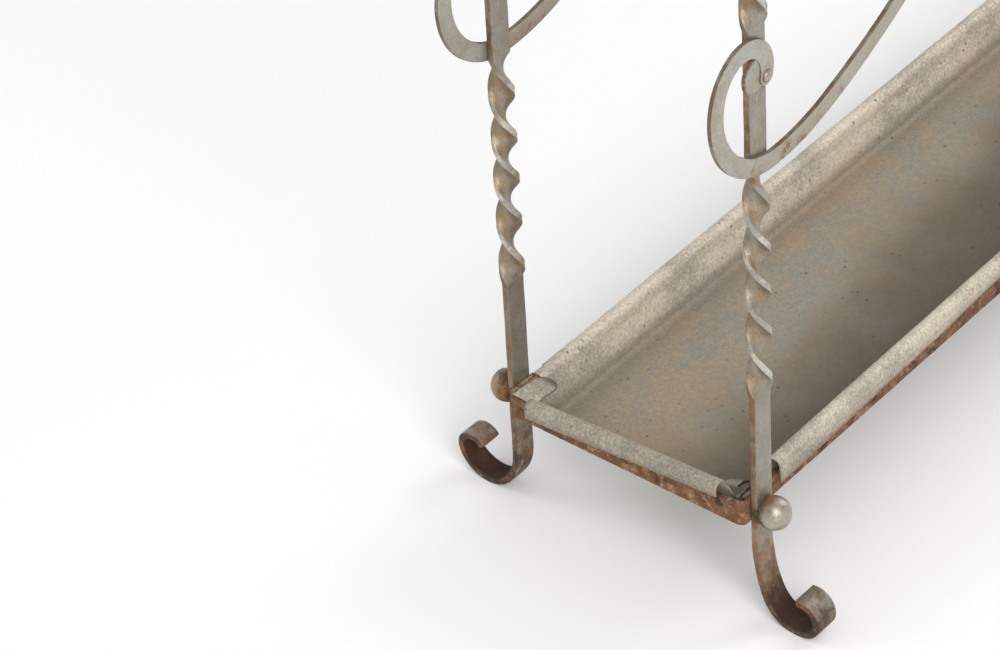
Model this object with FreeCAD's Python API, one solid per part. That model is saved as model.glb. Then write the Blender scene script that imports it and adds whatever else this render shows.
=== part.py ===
import FreeCAD, Part
import math
import os

# Wrought umbrella stand with a lift-out sheet metal drip tray.
# Millimetres, +Z up. X runs along the length, the front is -Y, the floor is Z = 0.

# ---- overall sizes -------------------------------------------------------------
POST_SPACING_X = 560.0      # post centre to post centre along the length
POST_INNER_GAP_Y = 180.0    # clear distance between front and rear posts
LOWER_BALL_Z = 80.0         # height of the lower ball rivets above the floor
UPPER_BALL_Z = 626.0        # height of the upper ball rivets above the floor

# ---- bar stock -----------------------------------------------------------------
POST_WIDTH = 16.0           # post bar, wide way, along X where it is straight
POST_THICK = 5.0            # post bar, thin way
POST_CHAMFER = 0.6          # worn edges of the post bar
RAIL_THICK = 3.2            # rails, tabs and dividers
RAIL_HEIGHT = 17.0
RAIL_CHAMFER = 0.4
RAIL_DROP = 7.5             # rail bottom edge below the ball centre
TAB_BEND_RADIUS = 4.5       # outer radius of the bent corners
TAB_PAST_POST = 10.0        # tab end past the post centre, inwards
END_RAIL_OUT = 15.0         # end rail outer face outboard of the post centre
RAIL_PAST_POST = 8.0        # long rail end outboard of the post centre

# ---- posts ---------------------------------------------------------------------
LOWER_TWIST_START = 92.5    # above the lower ball
TWIST_LENGTH = 154.0
TWIST_HALF_TURNS = 5
TWIST_STEPS_PER_HALF_TURN = 12
PLAIN_BETWEEN_TWISTS = 105.0
SOLE_WEAR = 0.4             # depth of the flat worn on each sole
# each curl is a run of arcs: (centre line radius, degrees turned)
FRONT_FOOT_ARCS = ((120.0, 21.0), (23.5, 89.0), (11.5, 176.0))
REAR_FOOT_ARCS = ((36.0, 37.0), (20.5, 53.5), (21.0, 80.5), (9.0, 160.0))
TOP_CURL_ARCS = ((60.0, 20.0), (22.0, 70.0), (11.0, 150.0))
TOP_CURL_START = 12.0       # above the upper ball

# ---- ball rivets ---------------------------------------------------------------
BALL_RADIUS = 10.5
BALL_STANDOFF = 7.0         # ball centre outboard of the post face
BALL_SHANK_RADIUS = 3.5
SHANK_CLEARANCE = 0.15      # between every shank and its hole, on the radius
INNER_HEAD_RADIUS = 5.5
INNER_HEAD_THICK = 1.6

# ---- scrolls -------------------------------------------------------------------
SCROLL_WIDTH = 12.0
SCROLL_THICK = 3.2
SCROLL_CHAMFER = 0.4
SCROLL_BOTTOM_Z = 253.5     # lowest point of the centre line above the lower ball
SCROLL_BOTTOM_IN = 12.0     # its distance inboard of the post centre
LOOP_ARCS = ((53.0, 90.0), (40.0, 28.0), (27.0, 37.0), (20.5, 130.0))
RUN_ARCS = ((146.0, 17.5), (410.0, 12.0))
RUN_BEND_RADIUS = 170.0     # bend from the run up to the collar
COLLAR_ROOM = 34.0          # shortest upright length that the collar grips
TOP_LOOP_ARCS = ((30.0, 100.0), (19.0, 170.0))
TWIN_GAP = 0.3              # between the two scrolls under the collar
PENNY_RADIUS = 11.5
PENNY_THICK = 2.2
PENNY_BACK = 8.6            # penny centre, towards the loop from the rivet
PENNY_RISE = 4.3
SCROLL_RIVET_HEAD = 4.2
SCROLL_RIVET_DOME = 2.2
SCROLL_RIVET_SHANK = 2.3
COLLAR_HEIGHT = 22.0
COLLAR_WALL = 2.0
COLLAR_CLEARANCE = 0.15
SPACER_RADIUS = 6.0

# ---- top grid ------------------------------------------------------------------
COMPARTMENTS = 5
DIVIDER_TAB = 18.0
DIVIDER_RIVET_HEAD = 4.0
DIVIDER_RIVET_DOME = 1.8
DIVIDER_RIVET_SHANK = 2.4

# ---- drip tray -----------------------------------------------------------------
TRAY_SHEET = 0.9
ROLL_INNER_RADIUS = 4.2
TRAY_DEPTH = 25.0           # roll centre down to the upper face of the floor
WALL_INSET = 6.0            # slope of the walls over that depth
TRAY_TILT = 3.2             # degrees, the front rim rides high
REAR_ROLL_OUT = 0.5         # rear roll centre outboard of the rear rail centre
FRONT_ROLL_OUT = 1.5        # front roll centre outboard of the front rail centre
END_ROLL_OUT = 1.1          # end roll centres outboard of the end rail centres
SEAT_CLEARANCE = 0.3        # rear roll above the corners of the rear rail
FRONT_SKIRT = 8.0           # outer edge of each roll below the roll centre
REAR_SKIRT = 5.0
END_SKIRT = 5.0
LONG_ROLL_STOP = 20.0       # long rolls end this far inboard of the post centres
END_ROLL_STOP = 19.5        # end rolls end this far inboard of the post centres
DOG_EAR = 14.0              # folded corner flap, leg length

# ---- values that follow from the sizes above -----------------------------------
POST_X = POST_SPACING_X / 2.0
POST_INNER_Y = POST_INNER_GAP_Y / 2.0
POST_OUTER_Y = POST_INNER_Y + POST_THICK
POST_Y = POST_INNER_Y + POST_THICK / 2.0
TAB_INNER_Y = POST_INNER_Y - RAIL_THICK
RAIL_INNER_Y = TAB_INNER_Y - RAIL_THICK
BALL_Y = POST_OUTER_Y + BALL_STANDOFF
END_RAIL_X = POST_X + END_RAIL_OUT
RAIL_TOP = RAIL_HEIGHT - RAIL_DROP
ROLL_OUTER_RADIUS = ROLL_INNER_RADIUS + TRAY_SHEET
LOWER_TWIST_Z = LOWER_BALL_Z + LOWER_TWIST_START
PLAIN_Z = LOWER_TWIST_Z + TWIST_LENGTH
UPPER_TWIST_Z = PLAIN_Z + PLAIN_BETWEEN_TWISTS
CURL_Z = UPPER_BALL_Z + TOP_CURL_START


def vec(x, y, z):
    return FreeCAD.Vector(x, y, z)


def box(x0, x1, y0, y1, z0, z1):
    """A box from its six faces."""
    return Part.makeBox(x1 - x0, y1 - y0, z1 - z0, vec(x0, y0, z0))


def rod(radius, start, end):
    """A round bar between two points."""
    axis = end - start
    return Part.makeCylinder(radius, axis.Length, start, axis)


def fuse(shapes):
    """One solid from shapes that touch or overlap."""
    whole = shapes[0].multiFuse(shapes[1:]).removeSplitter()
    if whole.ShapeType == "Compound" and len(whole.Solids) == 1:
        return whole.Solids[0]
    return whole


def trace(start, heading, steps):
    """Follow tangent steps in a plane. A step is (radius, degrees), where a
    positive angle turns left, or (0, length) for a straight. Returns, for each
    step, its start, its heading in degrees, its radius and its angle or length."""
    u, v = start
    legs = []
    for radius, amount in steps:
        legs.append((u, v, heading, radius, amount))
        a = math.radians(heading)
        if radius == 0:
            u += amount * math.cos(a)
            v += amount * math.sin(a)
            continue
        side = 1.0 if amount > 0 else -1.0
        cu = u - side * radius * math.sin(a)
        cv = v + side * radius * math.cos(a)
        heading += amount
        a = math.radians(heading)
        u = cu + side * radius * math.sin(a)
        v = cv - side * radius * math.cos(a)
    legs.append((u, v, heading, 0, 0))
    return legs


def beside(leg, offset, part):
    """The point at a fraction of one leg, moved sideways to the left."""
    u, v, heading, radius, amount = leg
    a = math.radians(heading)
    if radius == 0:
        return (u + part * amount * math.cos(a) - offset * math.sin(a),
                v + part * amount * math.sin(a) + offset * math.cos(a))
    side = 1.0 if amount > 0 else -1.0
    cu = u - side * radius * math.sin(a)
    cv = v + side * radius * math.cos(a)
    b = math.radians(heading + part * amount)
    reach = radius - side * offset
    return (cu + side * reach * math.sin(b), cv - side * reach * math.cos(b))


def strip_face(start, heading, steps, half, place, round_end):
    """A flat strip of constant width along a traced centre line. place turns a
    plane point into a vector. The far end is square or a half circle."""
    legs = trace(start, heading, steps)
    edges = []
    for offset in (half, -half):
        for leg in legs[:-1]:
            p0 = place(*beside(leg, offset, 0.0))
            p1 = place(*beside(leg, offset, 1.0))
            if leg[3] == 0:
                edges.append(Part.makeLine(p0, p1))
            else:
                edges.append(Part.Arc(p0, place(*beside(leg, offset, 0.5)), p1).toShape())
    first = legs[0]
    last = legs[-1]
    edges.append(Part.makeLine(place(*beside(first, half, 0)), place(*beside(first, -half, 0))))
    a = math.radians(last[2])
    left = place(*beside(last, half, 0))
    right = place(*beside(last, -half, 0))
    if round_end:
        tip = place(last[0] + half * math.cos(a), last[1] + half * math.sin(a))
        edges.append(Part.Arc(left, tip, right).toShape())
    else:
        edges.append(Part.makeLine(left, right))
    return Part.Face(Part.Wire(Part.__sortEdges__(edges)))


def chamfer_rims(solid, size, axis, low, high):
    """Chamfer every edge that lies wholly in one of two planes across an axis."""
    picked = []
    for edge in solid.Edges:
        box_ = edge.BoundBox
        lo = (box_.XMin, box_.YMin, box_.ZMin)[axis]
        hi = (box_.XMax, box_.YMax, box_.ZMax)[axis]
        if hi - lo < 1e-4 and min(abs(lo - low), abs(lo - high)) < 1e-4:
            picked.append(edge)
    return solid.makeChamfer(size, picked)


# ---- posts ---------------------------------------------------------------------
def bar_section(z, degrees):
    """The worn-edged cross section of the post bar at one height."""
    w = POST_WIDTH / 2.0
    t = POST_THICK / 2.0
    c = POST_CHAMFER
    corners = ((w, t - c), (w - c, t), (c - w, t), (-w, t - c),
               (-w, c - t), (c - w, -t), (w - c, -t), (w, c - t))
    a = math.radians(degrees)
    points = []
    for x, y in corners:
        points.append(vec(x * math.cos(a) - y * math.sin(a), x * math.sin(a) + y * math.cos(a), z))
    return Part.makePolygon(points + [points[0]])


def plain_bar(z0, z1):
    """A straight length of post bar."""
    return Part.Face(bar_section(z0, 0)).extrude(vec(0, 0, z1 - z0))


def twisted_bar(z0):
    """A length of post bar wrung round its own axis, left handed."""
    count = TWIST_HALF_TURNS * TWIST_STEPS_PER_HALF_TURN
    sections = []
    for i in range(count + 1):
        part = i / count
        sections.append(bar_section(z0 + part * TWIST_LENGTH, -180.0 * TWIST_HALF_TURNS * part))
    return Part.makeLoft(sections, True, False)


def curl(arcs, z, down, side):
    """A curled end of the post bar, bent outwards from height z."""
    steps = tuple((radius, turn if down else -turn) for radius, turn in arcs)
    heading = -90.0 if down else 90.0

    def place(u, v):
        return vec(-POST_WIDTH / 2.0, side * u, v)

    face = strip_face((0.0, z), heading, steps, POST_THICK / 2.0, place, False)
    solid = face.extrude(vec(POST_WIDTH, 0, 0))
    return chamfer_rims(solid, POST_CHAMFER, 0, -POST_WIDTH / 2.0, POST_WIDTH / 2.0)


def curl_reach(arcs):
    """How far below its start, and how far out, the underside of a foot comes."""
    down = 0.0
    out = 0.0
    for leg in trace((0.0, 0.0), -90.0, arcs)[:-1]:
        for i in range(201):
            u, v = beside(leg, -POST_THICK / 2.0, i / 200.0)
            down = max(down, -v)
            out = max(out, u)
    return down, out


def post(x, side, foot_arcs):
    """One post: foot, two twists and top curl worked from a single bar."""
    foot_z = curl_reach(foot_arcs)[0] - SOLE_WEAR
    pieces = [
        curl(foot_arcs, foot_z, True, side),
        plain_bar(foot_z, LOWER_TWIST_Z),
        twisted_bar(LOWER_TWIST_Z),
        plain_bar(PLAIN_Z, UPPER_TWIST_Z),
        twisted_bar(UPPER_TWIST_Z),
        plain_bar(UPPER_TWIST_Z + TWIST_LENGTH, CURL_Z),
        curl(TOP_CURL_ARCS, CURL_Z, False, side),
    ]
    bar = pieces[0].multiFuse(pieces[1:])
    bar.translate(vec(x, side * POST_Y, 0))
    cuts = [box(x - POST_WIDTH, x + POST_WIDTH, -300, 300, -20, 0)]
    for z in (LOWER_BALL_Z, UPPER_BALL_Z):
        cuts.append(cross_hole(x, z, side, BALL_SHANK_RADIUS))
    rx, rz = scroll_rivet_at(x)
    cuts.append(cross_hole(rx, rz, side, SCROLL_RIVET_SHANK))
    return bar.cut(cuts)


def cross_hole(x, z, side, shank):
    """A drill through everything on one long side, with shank clearance."""
    return rod(shank + SHANK_CLEARANCE, vec(x, side * (RAIL_INNER_Y - 10), z),
               vec(x, side * (POST_OUTER_Y + 10), z))


# ---- rails ---------------------------------------------------------------------
def end_rail(sign, ball_z):
    """A bar across one end, its ends bent round into tabs behind the posts."""
    bend = TAB_BEND_RADIUS - RAIL_THICK / 2.0
    flat = TAB_INNER_Y + RAIL_THICK / 2.0 - bend
    tab = END_RAIL_X - RAIL_THICK / 2.0 - bend - (POST_X - TAB_PAST_POST)
    centre_x = END_RAIL_X - RAIL_THICK / 2.0
    z0 = ball_z - RAIL_DROP

    def place(u, v):
        return vec(sign * u, v, z0)

    steps = ((0, flat), (bend, 90.0), (0, tab))
    upper = strip_face((centre_x, 0.0), 90.0, steps, RAIL_THICK / 2.0, place, False)

    def place_low(u, v):
        return vec(sign * u, -v, z0)

    lower = strip_face((centre_x, 0.0), 90.0, steps, RAIL_THICK / 2.0, place_low, False)
    bar = fuse([face.extrude(vec(0, 0, RAIL_HEIGHT)) for face in (upper, lower)])
    bar = chamfer_rims(bar, RAIL_CHAMFER, 2, z0, z0 + RAIL_HEIGHT)
    holes = []
    for side in (-1, 1):
        holes.append(cross_hole(sign * POST_X, ball_z, side, BALL_SHANK_RADIUS))
    return bar.cut(holes)


def long_rail(side, ball_z):
    """A straight rail along the front or the rear, inside the end rail tabs."""
    half = POST_X + RAIL_PAST_POST
    y0, y1 = sorted((side * RAIL_INNER_Y, side * TAB_INNER_Y))
    z0 = ball_z - RAIL_DROP
    bar = box(-half, half, y0, y1, z0, z0 + RAIL_HEIGHT)
    bar = chamfer_rims(bar, RAIL_CHAMFER, 2, z0, z0 + RAIL_HEIGHT)
    holes = []
    for sign in (-1, 1):
        holes.append(cross_hole(sign * POST_X, ball_z, side, BALL_SHANK_RADIUS))
    return bar.cut(holes)


def divider_holes(side):
    """Rivet holes for the dividers and the scroll spacers in a top rail."""
    holes = []
    for x in divider_places():
        holes.append(cross_hole(divider_rivet_x(x), UPPER_BALL_Z, side, DIVIDER_RIVET_SHANK))
    for x in (-scroll_top_x(), scroll_top_x()):
        holes.append(cross_hole(x, UPPER_BALL_Z, side, SCROLL_RIVET_SHANK))
    return holes


def divider_places():
    """Left face of every divider along X, in equal compartments."""
    clear = 2.0 * (END_RAIL_X - RAIL_THICK)
    pitch = clear / COMPARTMENTS
    return [-clear / 2.0 + pitch * i - RAIL_THICK / 2.0 for i in range(1, COMPARTMENTS)]


def divider_rivet_x(x):
    """Middle of the flat of a divider's tab, where its rivet goes."""
    return x + (RAIL_THICK * 1.5 + DIVIDER_TAB) / 2.0


def divider(x):
    """A flat bar across the top frame, bent at both ends for its rivets."""
    outer = RAIL_THICK * 1.5
    bend = outer - RAIL_THICK / 2.0
    flat = RAIL_INNER_Y - RAIL_THICK / 2.0 - bend
    z0 = UPPER_BALL_Z - RAIL_DROP
    halves = []
    for side in (-1, 1):
        steps = ((0, flat), (bend, -90.0), (0, DIVIDER_TAB - outer))

        def place(u, v):
            return vec(u, side * v, z0)

        face = strip_face((x + RAIL_THICK / 2.0, 0.0), 90.0, steps, RAIL_THICK / 2.0, place, False)
        halves.append(face.extrude(vec(0, 0, RAIL_HEIGHT)))
    bar = fuse(halves)
    bar = chamfer_rims(bar, RAIL_CHAMFER, 2, z0, z0 + RAIL_HEIGHT)
    holes = []
    for side in (-1, 1):
        holes.append(cross_hole(divider_rivet_x(x), UPPER_BALL_Z, side, DIVIDER_RIVET_SHANK))
    return bar.cut(holes)


# ---- rivets --------------------------------------------------------------------
def dome(radius, height, base, axis):
    """A rounded rivet head sitting on a point, rising along an axis."""
    sphere = (radius * radius + height * height) / (2.0 * height)
    ball = Part.makeSphere(sphere, base - axis * (sphere - height))
    keep = Part.makeCylinder(radius * 1.5, height * 1.5, base, axis)
    return ball.common(keep)


def ball_rivet(x, side, z):
    """A ball-headed rivet through post, tab and long rail, with no inner head."""
    out = vec(0, side, 0)
    ball = Part.makeSphere(BALL_RADIUS, vec(x, side * BALL_Y, z))
    keep = rod(BALL_RADIUS * 1.2, vec(x, side * POST_OUTER_Y, z),
               vec(x, side * (BALL_Y + BALL_RADIUS + 1), z))
    shank = rod(BALL_SHANK_RADIUS, vec(x, side * (RAIL_INNER_Y - INNER_HEAD_THICK), z),
                vec(x, side * POST_OUTER_Y, z) + out)
    return fuse([ball.common(keep), shank])


def inner_head(x, side, z):
    """The washer the ball rivet shank is peened over, inside the rail."""
    inner = side * (RAIL_INNER_Y - INNER_HEAD_THICK)
    disc = rod(INNER_HEAD_RADIUS, vec(x, inner, z), vec(x, side * RAIL_INNER_Y, z))
    return disc.cut(rod(BALL_SHANK_RADIUS, vec(x, inner - side, z), vec(x, side * (RAIL_INNER_Y + 1), z)))


def headed_rivet(x, z, side, inner_y, outer_y, shank, head, rise):
    """A rivet with a domed head on each face of a stack."""
    out = vec(0, side, 0)
    start = vec(x, side * inner_y, z)
    end = vec(x, side * outer_y, z)
    return fuse([rod(shank, start, end), dome(head, rise, end, out), dome(head, rise, start, -out)])


# ---- scrolls -------------------------------------------------------------------
def scroll_legs():
    """The two halves of the scroll centre line from its lowest point, as plane
    steps: u inboard from the post centre, v above the lower ball."""
    rise = trace((SCROLL_BOTTOM_IN, SCROLL_BOTTOM_Z), 0.0, RUN_ARCS)[-1]
    heading = math.radians(rise[2])
    bend_u = RUN_BEND_RADIUS * (1.0 - math.sin(heading))
    end_u = POST_X - SCROLL_WIDTH / 2.0 - TWIN_GAP / 2.0
    straight = (end_u - bend_u - rise[0]) / math.cos(heading)
    bend_v = RUN_BEND_RADIUS * math.cos(heading)
    top_v = UPPER_BALL_Z - LOWER_BALL_Z - TOP_LOOP_ARCS[0][0]
    upright = top_v - (rise[1] + straight * math.sin(heading) + bend_v)
    radius = RUN_BEND_RADIUS
    if upright < COLLAR_ROOM:
        # a longer stand bends up more tightly, so that the collar keeps its grip
        short = COLLAR_ROOM - upright
        upright += short
        straight += short
        radius -= short * math.cos(heading) / (1.0 - math.sin(heading))
    run = RUN_ARCS + ((0, straight), (radius, 90.0 - rise[2]), (0, upright)) + TOP_LOOP_ARCS
    return run, LOOP_ARCS


def scroll_rivet_at(x):
    """Where the scroll's rivet passes through the post at X = x."""
    end = trace((SCROLL_BOTTOM_IN, SCROLL_BOTTOM_Z), 180.0,
                tuple((radius, -turn) for radius, turn in LOOP_ARCS))[-1]
    sign = 1.0 if x > 0 else -1.0
    return x - sign * end[0], LOWER_BALL_Z + end[1]


def scroll_top_x():
    """Distance from mid length to the top of the upper loop."""
    return SCROLL_WIDTH / 2.0 + TWIN_GAP / 2.0 + TOP_LOOP_ARCS[0][0]


def scroll(sign, side):
    """One flat scroll, bent edgewise, on the outer faces of the posts."""
    run, loop = scroll_legs()
    y = side * POST_OUTER_Y
    thick = vec(0, side * SCROLL_THICK, 0)

    def place(u, v):
        return vec(sign * (POST_X - u), y, LOWER_BALL_Z + v)

    half = SCROLL_WIDTH / 2.0
    bottom = (SCROLL_BOTTOM_IN, SCROLL_BOTTOM_Z)
    first = strip_face(bottom, 0.0, run, half, place, True)
    second = strip_face(bottom, 180.0, tuple((r, -a) for r, a in loop), half, place, True)
    body = fuse([first.extrude(thick), second.extrude(thick)])
    low, high = sorted((y, y + side * SCROLL_THICK))
    body = chamfer_rims(body, SCROLL_CHAMFER, 1, low, high)
    rx, rz = scroll_rivet_at(sign * POST_X)
    centre = vec(rx + sign * PENNY_BACK, y, rz + PENNY_RISE)
    penny = Part.makeCylinder(PENNY_RADIUS, PENNY_THICK, centre, vec(0, side, 0))
    body = body.fuse(penny)
    top = sign * scroll_top_x()
    return body.cut([cross_hole(rx, rz, side, SCROLL_RIVET_SHANK),
                     cross_hole(top, UPPER_BALL_Z, side, SCROLL_RIVET_SHANK)])


def collar(side):
    """A band clenched round the two scrolls where they meet at mid length."""
    run, _ = scroll_legs()
    legs = trace((SCROLL_BOTTOM_IN, SCROLL_BOTTOM_Z), 0.0, run)
    upright = legs[len(RUN_ARCS) + 2]
    z = LOWER_BALL_Z + upright[1] + upright[4] / 2.0
    half = SCROLL_WIDTH + TWIN_GAP / 2.0 + COLLAR_CLEARANCE
    y0, y1 = sorted((side * (POST_OUTER_Y - COLLAR_CLEARANCE),
                     side * (POST_OUTER_Y + SCROLL_THICK + COLLAR_CLEARANCE)))
    low = z - COLLAR_HEIGHT / 2.0
    high = z + COLLAR_HEIGHT / 2.0
    outer = box(-half - COLLAR_WALL, half + COLLAR_WALL, y0 - COLLAR_WALL, y1 + COLLAR_WALL, low, high)
    outer = outer.makeChamfer(0.5, outer.Edges)
    return outer.cut(box(-half, half, y0, y1, low - 1, high + 1))


def spacer(sign, side):
    """A short tube between a top rail and the scroll riveted to it."""
    x = sign * scroll_top_x()
    tube = rod(SPACER_RADIUS, vec(x, side * TAB_INNER_Y, UPPER_BALL_Z),
               vec(x, side * POST_OUTER_Y, UPPER_BALL_Z))
    return tube.cut(cross_hole(x, UPPER_BALL_Z, side, SCROLL_RIVET_SHANK))


# ---- drip tray -----------------------------------------------------------------
def tray_span():
    """Roll centre places: end rolls in X, then rear and front rolls in Y."""
    rail_y = RAIL_INNER_Y + RAIL_THICK / 2.0
    end_x = END_RAIL_X - RAIL_THICK / 2.0 + END_ROLL_OUT
    return end_x, rail_y + REAR_ROLL_OUT, -rail_y - FRONT_ROLL_OUT


def funnel(shrink, half_x, half_y, top, bottom):
    """A block with sloping sides, its top face shrunk by one amount all round."""
    rings = []
    for z, inset in ((top, 0.0), (bottom, WALL_INSET * (top - bottom) / TRAY_DEPTH)):
        x = half_x - shrink - inset
        y = half_y - shrink - inset
        ring = Part.makePolygon([vec(-x, -y, z), vec(x, -y, z), vec(x, y, z), vec(-x, y, z), vec(-x, -y, z)])
        rings.append(ring)
    return Part.makeLoft(rings, True, True)


def rim_roll(length, skirt):
    """A hooked rim along X, centred on its own axis, its open side facing down
    and its skirt towards +Y."""
    r_out = ROLL_OUTER_RADIUS
    r_in = ROLL_INNER_RADIUS
    ring = Part.makeCylinder(r_out, length, vec(-length / 2.0, 0, 0), vec(1, 0, 0))
    ring = ring.cut(Part.makeCylinder(r_in, length + 2, vec(-length / 2.0 - 1, 0, 0), vec(1, 0, 0)))
    ring = ring.common(box(-length, length, -r_out - 1, r_out + 1, 0, r_out + 1))
    hem = box(-length / 2.0, length / 2.0, r_in, r_out, -skirt, 0)
    return fuse([ring, hem])


def corner_flap(sx, sy, half_x, half_y):
    """The corner of the sheet folded flat and tucked against the end wall."""
    drop = TRAY_DEPTH / 2.0
    inset = WALL_INSET * drop / TRAY_DEPTH
    y = sy * half_y
    x_top = sx * half_x
    x_low = sx * (half_x - inset)
    leg = -sy * DOG_EAR
    outline = [vec(x_top, y, 0), vec(x_top, y + leg, 0), vec(x_low, y - sy * inset, -drop)]
    face = Part.Face(Part.makePolygon(outline + [outline[0]]))
    return face.extrude(vec(-sx * TRAY_SHEET, 0, 0))


def drip_tray():
    """A folded sheet tray with hooked rims, hung over the lower rails."""
    end_x, rear_y, front_y = tray_span()
    slope = (rear_y - front_y) / math.cos(math.radians(TRAY_TILT))
    half_y = slope / 2.0
    wall_x = end_x - ROLL_INNER_RADIUS
    wall_y = half_y - ROLL_INNER_RADIUS
    outer = funnel(0.0, wall_x, wall_y, 0.0, -TRAY_DEPTH - TRAY_SHEET)
    inner = funnel(TRAY_SHEET, wall_x, wall_y, 0.0, -TRAY_DEPTH)
    pieces = [outer.cut(inner)]
    long_length = 2.0 * (POST_X - LONG_ROLL_STOP)
    end_length = 2.0 * (POST_Y - END_ROLL_STOP)
    rear = rim_roll(long_length, REAR_SKIRT)
    rear.translate(vec(0, half_y, 0))
    front = rim_roll(long_length, FRONT_SKIRT)
    front.rotate(vec(0, 0, 0), vec(0, 0, 1), 180)
    front.translate(vec(0, -half_y, 0))
    pieces += [rear, front]
    for sign, turn in ((1, -90), (-1, 90)):
        roll = rim_roll(end_length, END_SKIRT)
        roll.rotate(vec(0, 0, 0), vec(0, 0, 1), turn)
        roll.translate(vec(sign * end_x, 0, 0))
        pieces.append(roll)
        for sy in (-1, 1):
            pieces.append(corner_flap(sign, sy, wall_x - TRAY_SHEET, wall_y - TRAY_SHEET))
    tray = fuse(pieces)
    tray.translate(vec(0, -half_y, 0))
    tray.rotate(vec(0, 0, 0), vec(1, 0, 0), -TRAY_TILT)
    tray.translate(vec(0, rear_y, LOWER_BALL_Z + RAIL_TOP + SEAT_CLEARANCE - roll_seat()))
    return tray


def roll_seat():
    """Height inside the rear roll at which the corners of the rail touch it."""
    reach = RAIL_THICK / 2.0 + REAR_ROLL_OUT
    return math.sqrt(ROLL_INNER_RADIUS ** 2 - reach ** 2)


# ---- write the nodes -----------------------------------------------------------
def centring():
    """Shift that puts the origin midway between the front and rear foot tips."""
    front = curl_reach(FRONT_FOOT_ARCS)[1]
    rear = curl_reach(REAR_FOOT_ARCS)[1]
    return vec(0, (front - rear) / 2.0, 0)


def save(name, solids):
    """Write one node as a single solid or a group of separate solids."""
    flat = []
    for shape in solids:
        shape.translate(centring())
        flat += shape.Solids
    node = flat[0] if len(flat) == 1 else Part.makeCompound(flat)
    node.exportStep(os.path.join("parts", name + ".step"))
    print(name, len(flat), node.isValid(), round(node.Volume, 1))


def main():
    os.makedirs("parts", exist_ok=True)
    corners = [(sx, sy) for sx in (-1, 1) for sy in (-1, 1)]
    side_names = {-1: "front", 1: "rear"}
    end_names = {-1: "left", 1: "right"}
    foot = {-1: FRONT_FOOT_ARCS, 1: REAR_FOOT_ARCS}
    for sx, sy in corners:
        where = side_names[sy] + "_" + end_names[sx]
        save("post_" + where, [post(sx * POST_X, sy, foot[sy])])
        save("scroll_" + where, [scroll(sx, sy)])
    for sy in (-1, 1):
        save("tray_rail_" + side_names[sy], [long_rail(sy, LOWER_BALL_Z)])
        save("top_rail_" + side_names[sy], [long_rail(sy, UPPER_BALL_Z).cut(divider_holes(sy))])
    for sx in (-1, 1):
        save("tray_rail_" + end_names[sx], [end_rail(sx, LOWER_BALL_Z)])
        save("top_rail_" + end_names[sx], [end_rail(sx, UPPER_BALL_Z)])
    for i, x in enumerate(divider_places()):
        save("divider_%d" % (i + 1), [divider(x)])
    for level, z in (("lower", LOWER_BALL_Z), ("upper", UPPER_BALL_Z)):
        save(level + "_ball_rivets", [ball_rivet(sx * POST_X, sy, z) for sx, sy in corners])
        save(level + "_rivet_washers", [inner_head(sx * POST_X, sy, z) for sx, sy in corners])
    scroll_outer = POST_OUTER_Y + SCROLL_THICK
    rivets = []
    tops = []
    for sx, sy in corners:
        rx, rz = scroll_rivet_at(sx * POST_X)
        rivets.append(headed_rivet(rx, rz, sy, POST_INNER_Y, scroll_outer, SCROLL_RIVET_SHANK,
                                   SCROLL_RIVET_HEAD, SCROLL_RIVET_DOME))
        tops.append(headed_rivet(sx * scroll_top_x(), UPPER_BALL_Z, sy, RAIL_INNER_Y, scroll_outer,
                                 SCROLL_RIVET_SHANK, SCROLL_RIVET_HEAD, SCROLL_RIVET_DOME))
    save("scroll_post_rivets", rivets)
    save("scroll_top_rivets", tops)
    save("scroll_spacers", [spacer(sx, sy) for sx, sy in corners])
    save("scroll_collars", [collar(sy) for sy in (-1, 1)])
    pins = []
    for x in divider_places():
        for sy in (-1, 1):
            pins.append(headed_rivet(divider_rivet_x(x), UPPER_BALL_Z, sy, RAIL_INNER_Y - RAIL_THICK,
                                     TAB_INNER_Y, DIVIDER_RIVET_SHANK, DIVIDER_RIVET_HEAD,
                                     DIVIDER_RIVET_DOME))
    save("divider_rivets", pins)
    save("drip_tray", [drip_tray()])


main()
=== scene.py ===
import logging
import math
from dataclasses import dataclass
from enum import Enum
from typing import Mapping, Optional, Sequence, Union

import bmesh
import bpy
import numpy as np
from mathutils import Matrix, Vector


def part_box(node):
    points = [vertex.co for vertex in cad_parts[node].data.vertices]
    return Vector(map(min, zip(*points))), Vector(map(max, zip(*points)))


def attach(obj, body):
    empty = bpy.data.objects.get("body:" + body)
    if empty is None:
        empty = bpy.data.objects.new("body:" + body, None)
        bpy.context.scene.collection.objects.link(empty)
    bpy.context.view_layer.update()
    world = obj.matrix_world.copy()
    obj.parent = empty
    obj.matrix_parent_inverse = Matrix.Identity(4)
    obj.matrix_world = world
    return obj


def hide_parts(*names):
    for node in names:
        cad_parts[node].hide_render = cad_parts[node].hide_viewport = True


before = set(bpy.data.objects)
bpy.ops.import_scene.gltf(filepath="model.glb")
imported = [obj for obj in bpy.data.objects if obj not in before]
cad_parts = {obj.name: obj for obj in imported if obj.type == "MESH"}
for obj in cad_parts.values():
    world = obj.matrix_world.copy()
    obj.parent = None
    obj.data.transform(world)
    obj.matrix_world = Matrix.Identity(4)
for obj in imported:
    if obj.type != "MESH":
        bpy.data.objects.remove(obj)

# Wrought umbrella stand with a lift-out sheet metal drip tray.
# Metres, +Z up. X runs along the length, the front is -Y, the floor is Z = 0.

log = logging.getLogger("umbrella_stand")
Array = np.ndarray
MM = 0.001
# Masks kept on each mesh for the finishes. The mask of curls, creases and folds and the tray floor mask are
# painted shade, the mask of ridges is partly painted highlight, and the rim mask partly paints light on the
# tray walls.
MARKS = ("side", "ridge_sheen_and_wear", "valley", "rust", "shade_and_grime", "rim", "damp")


class Side(Enum):
    """The long sides of the stand, by the sign of Y."""

    FRONT = -1
    REAR = 1


class End(Enum):
    """The short ends of the stand, by the sign of X."""

    LEFT = -1
    RIGHT = 1


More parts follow.
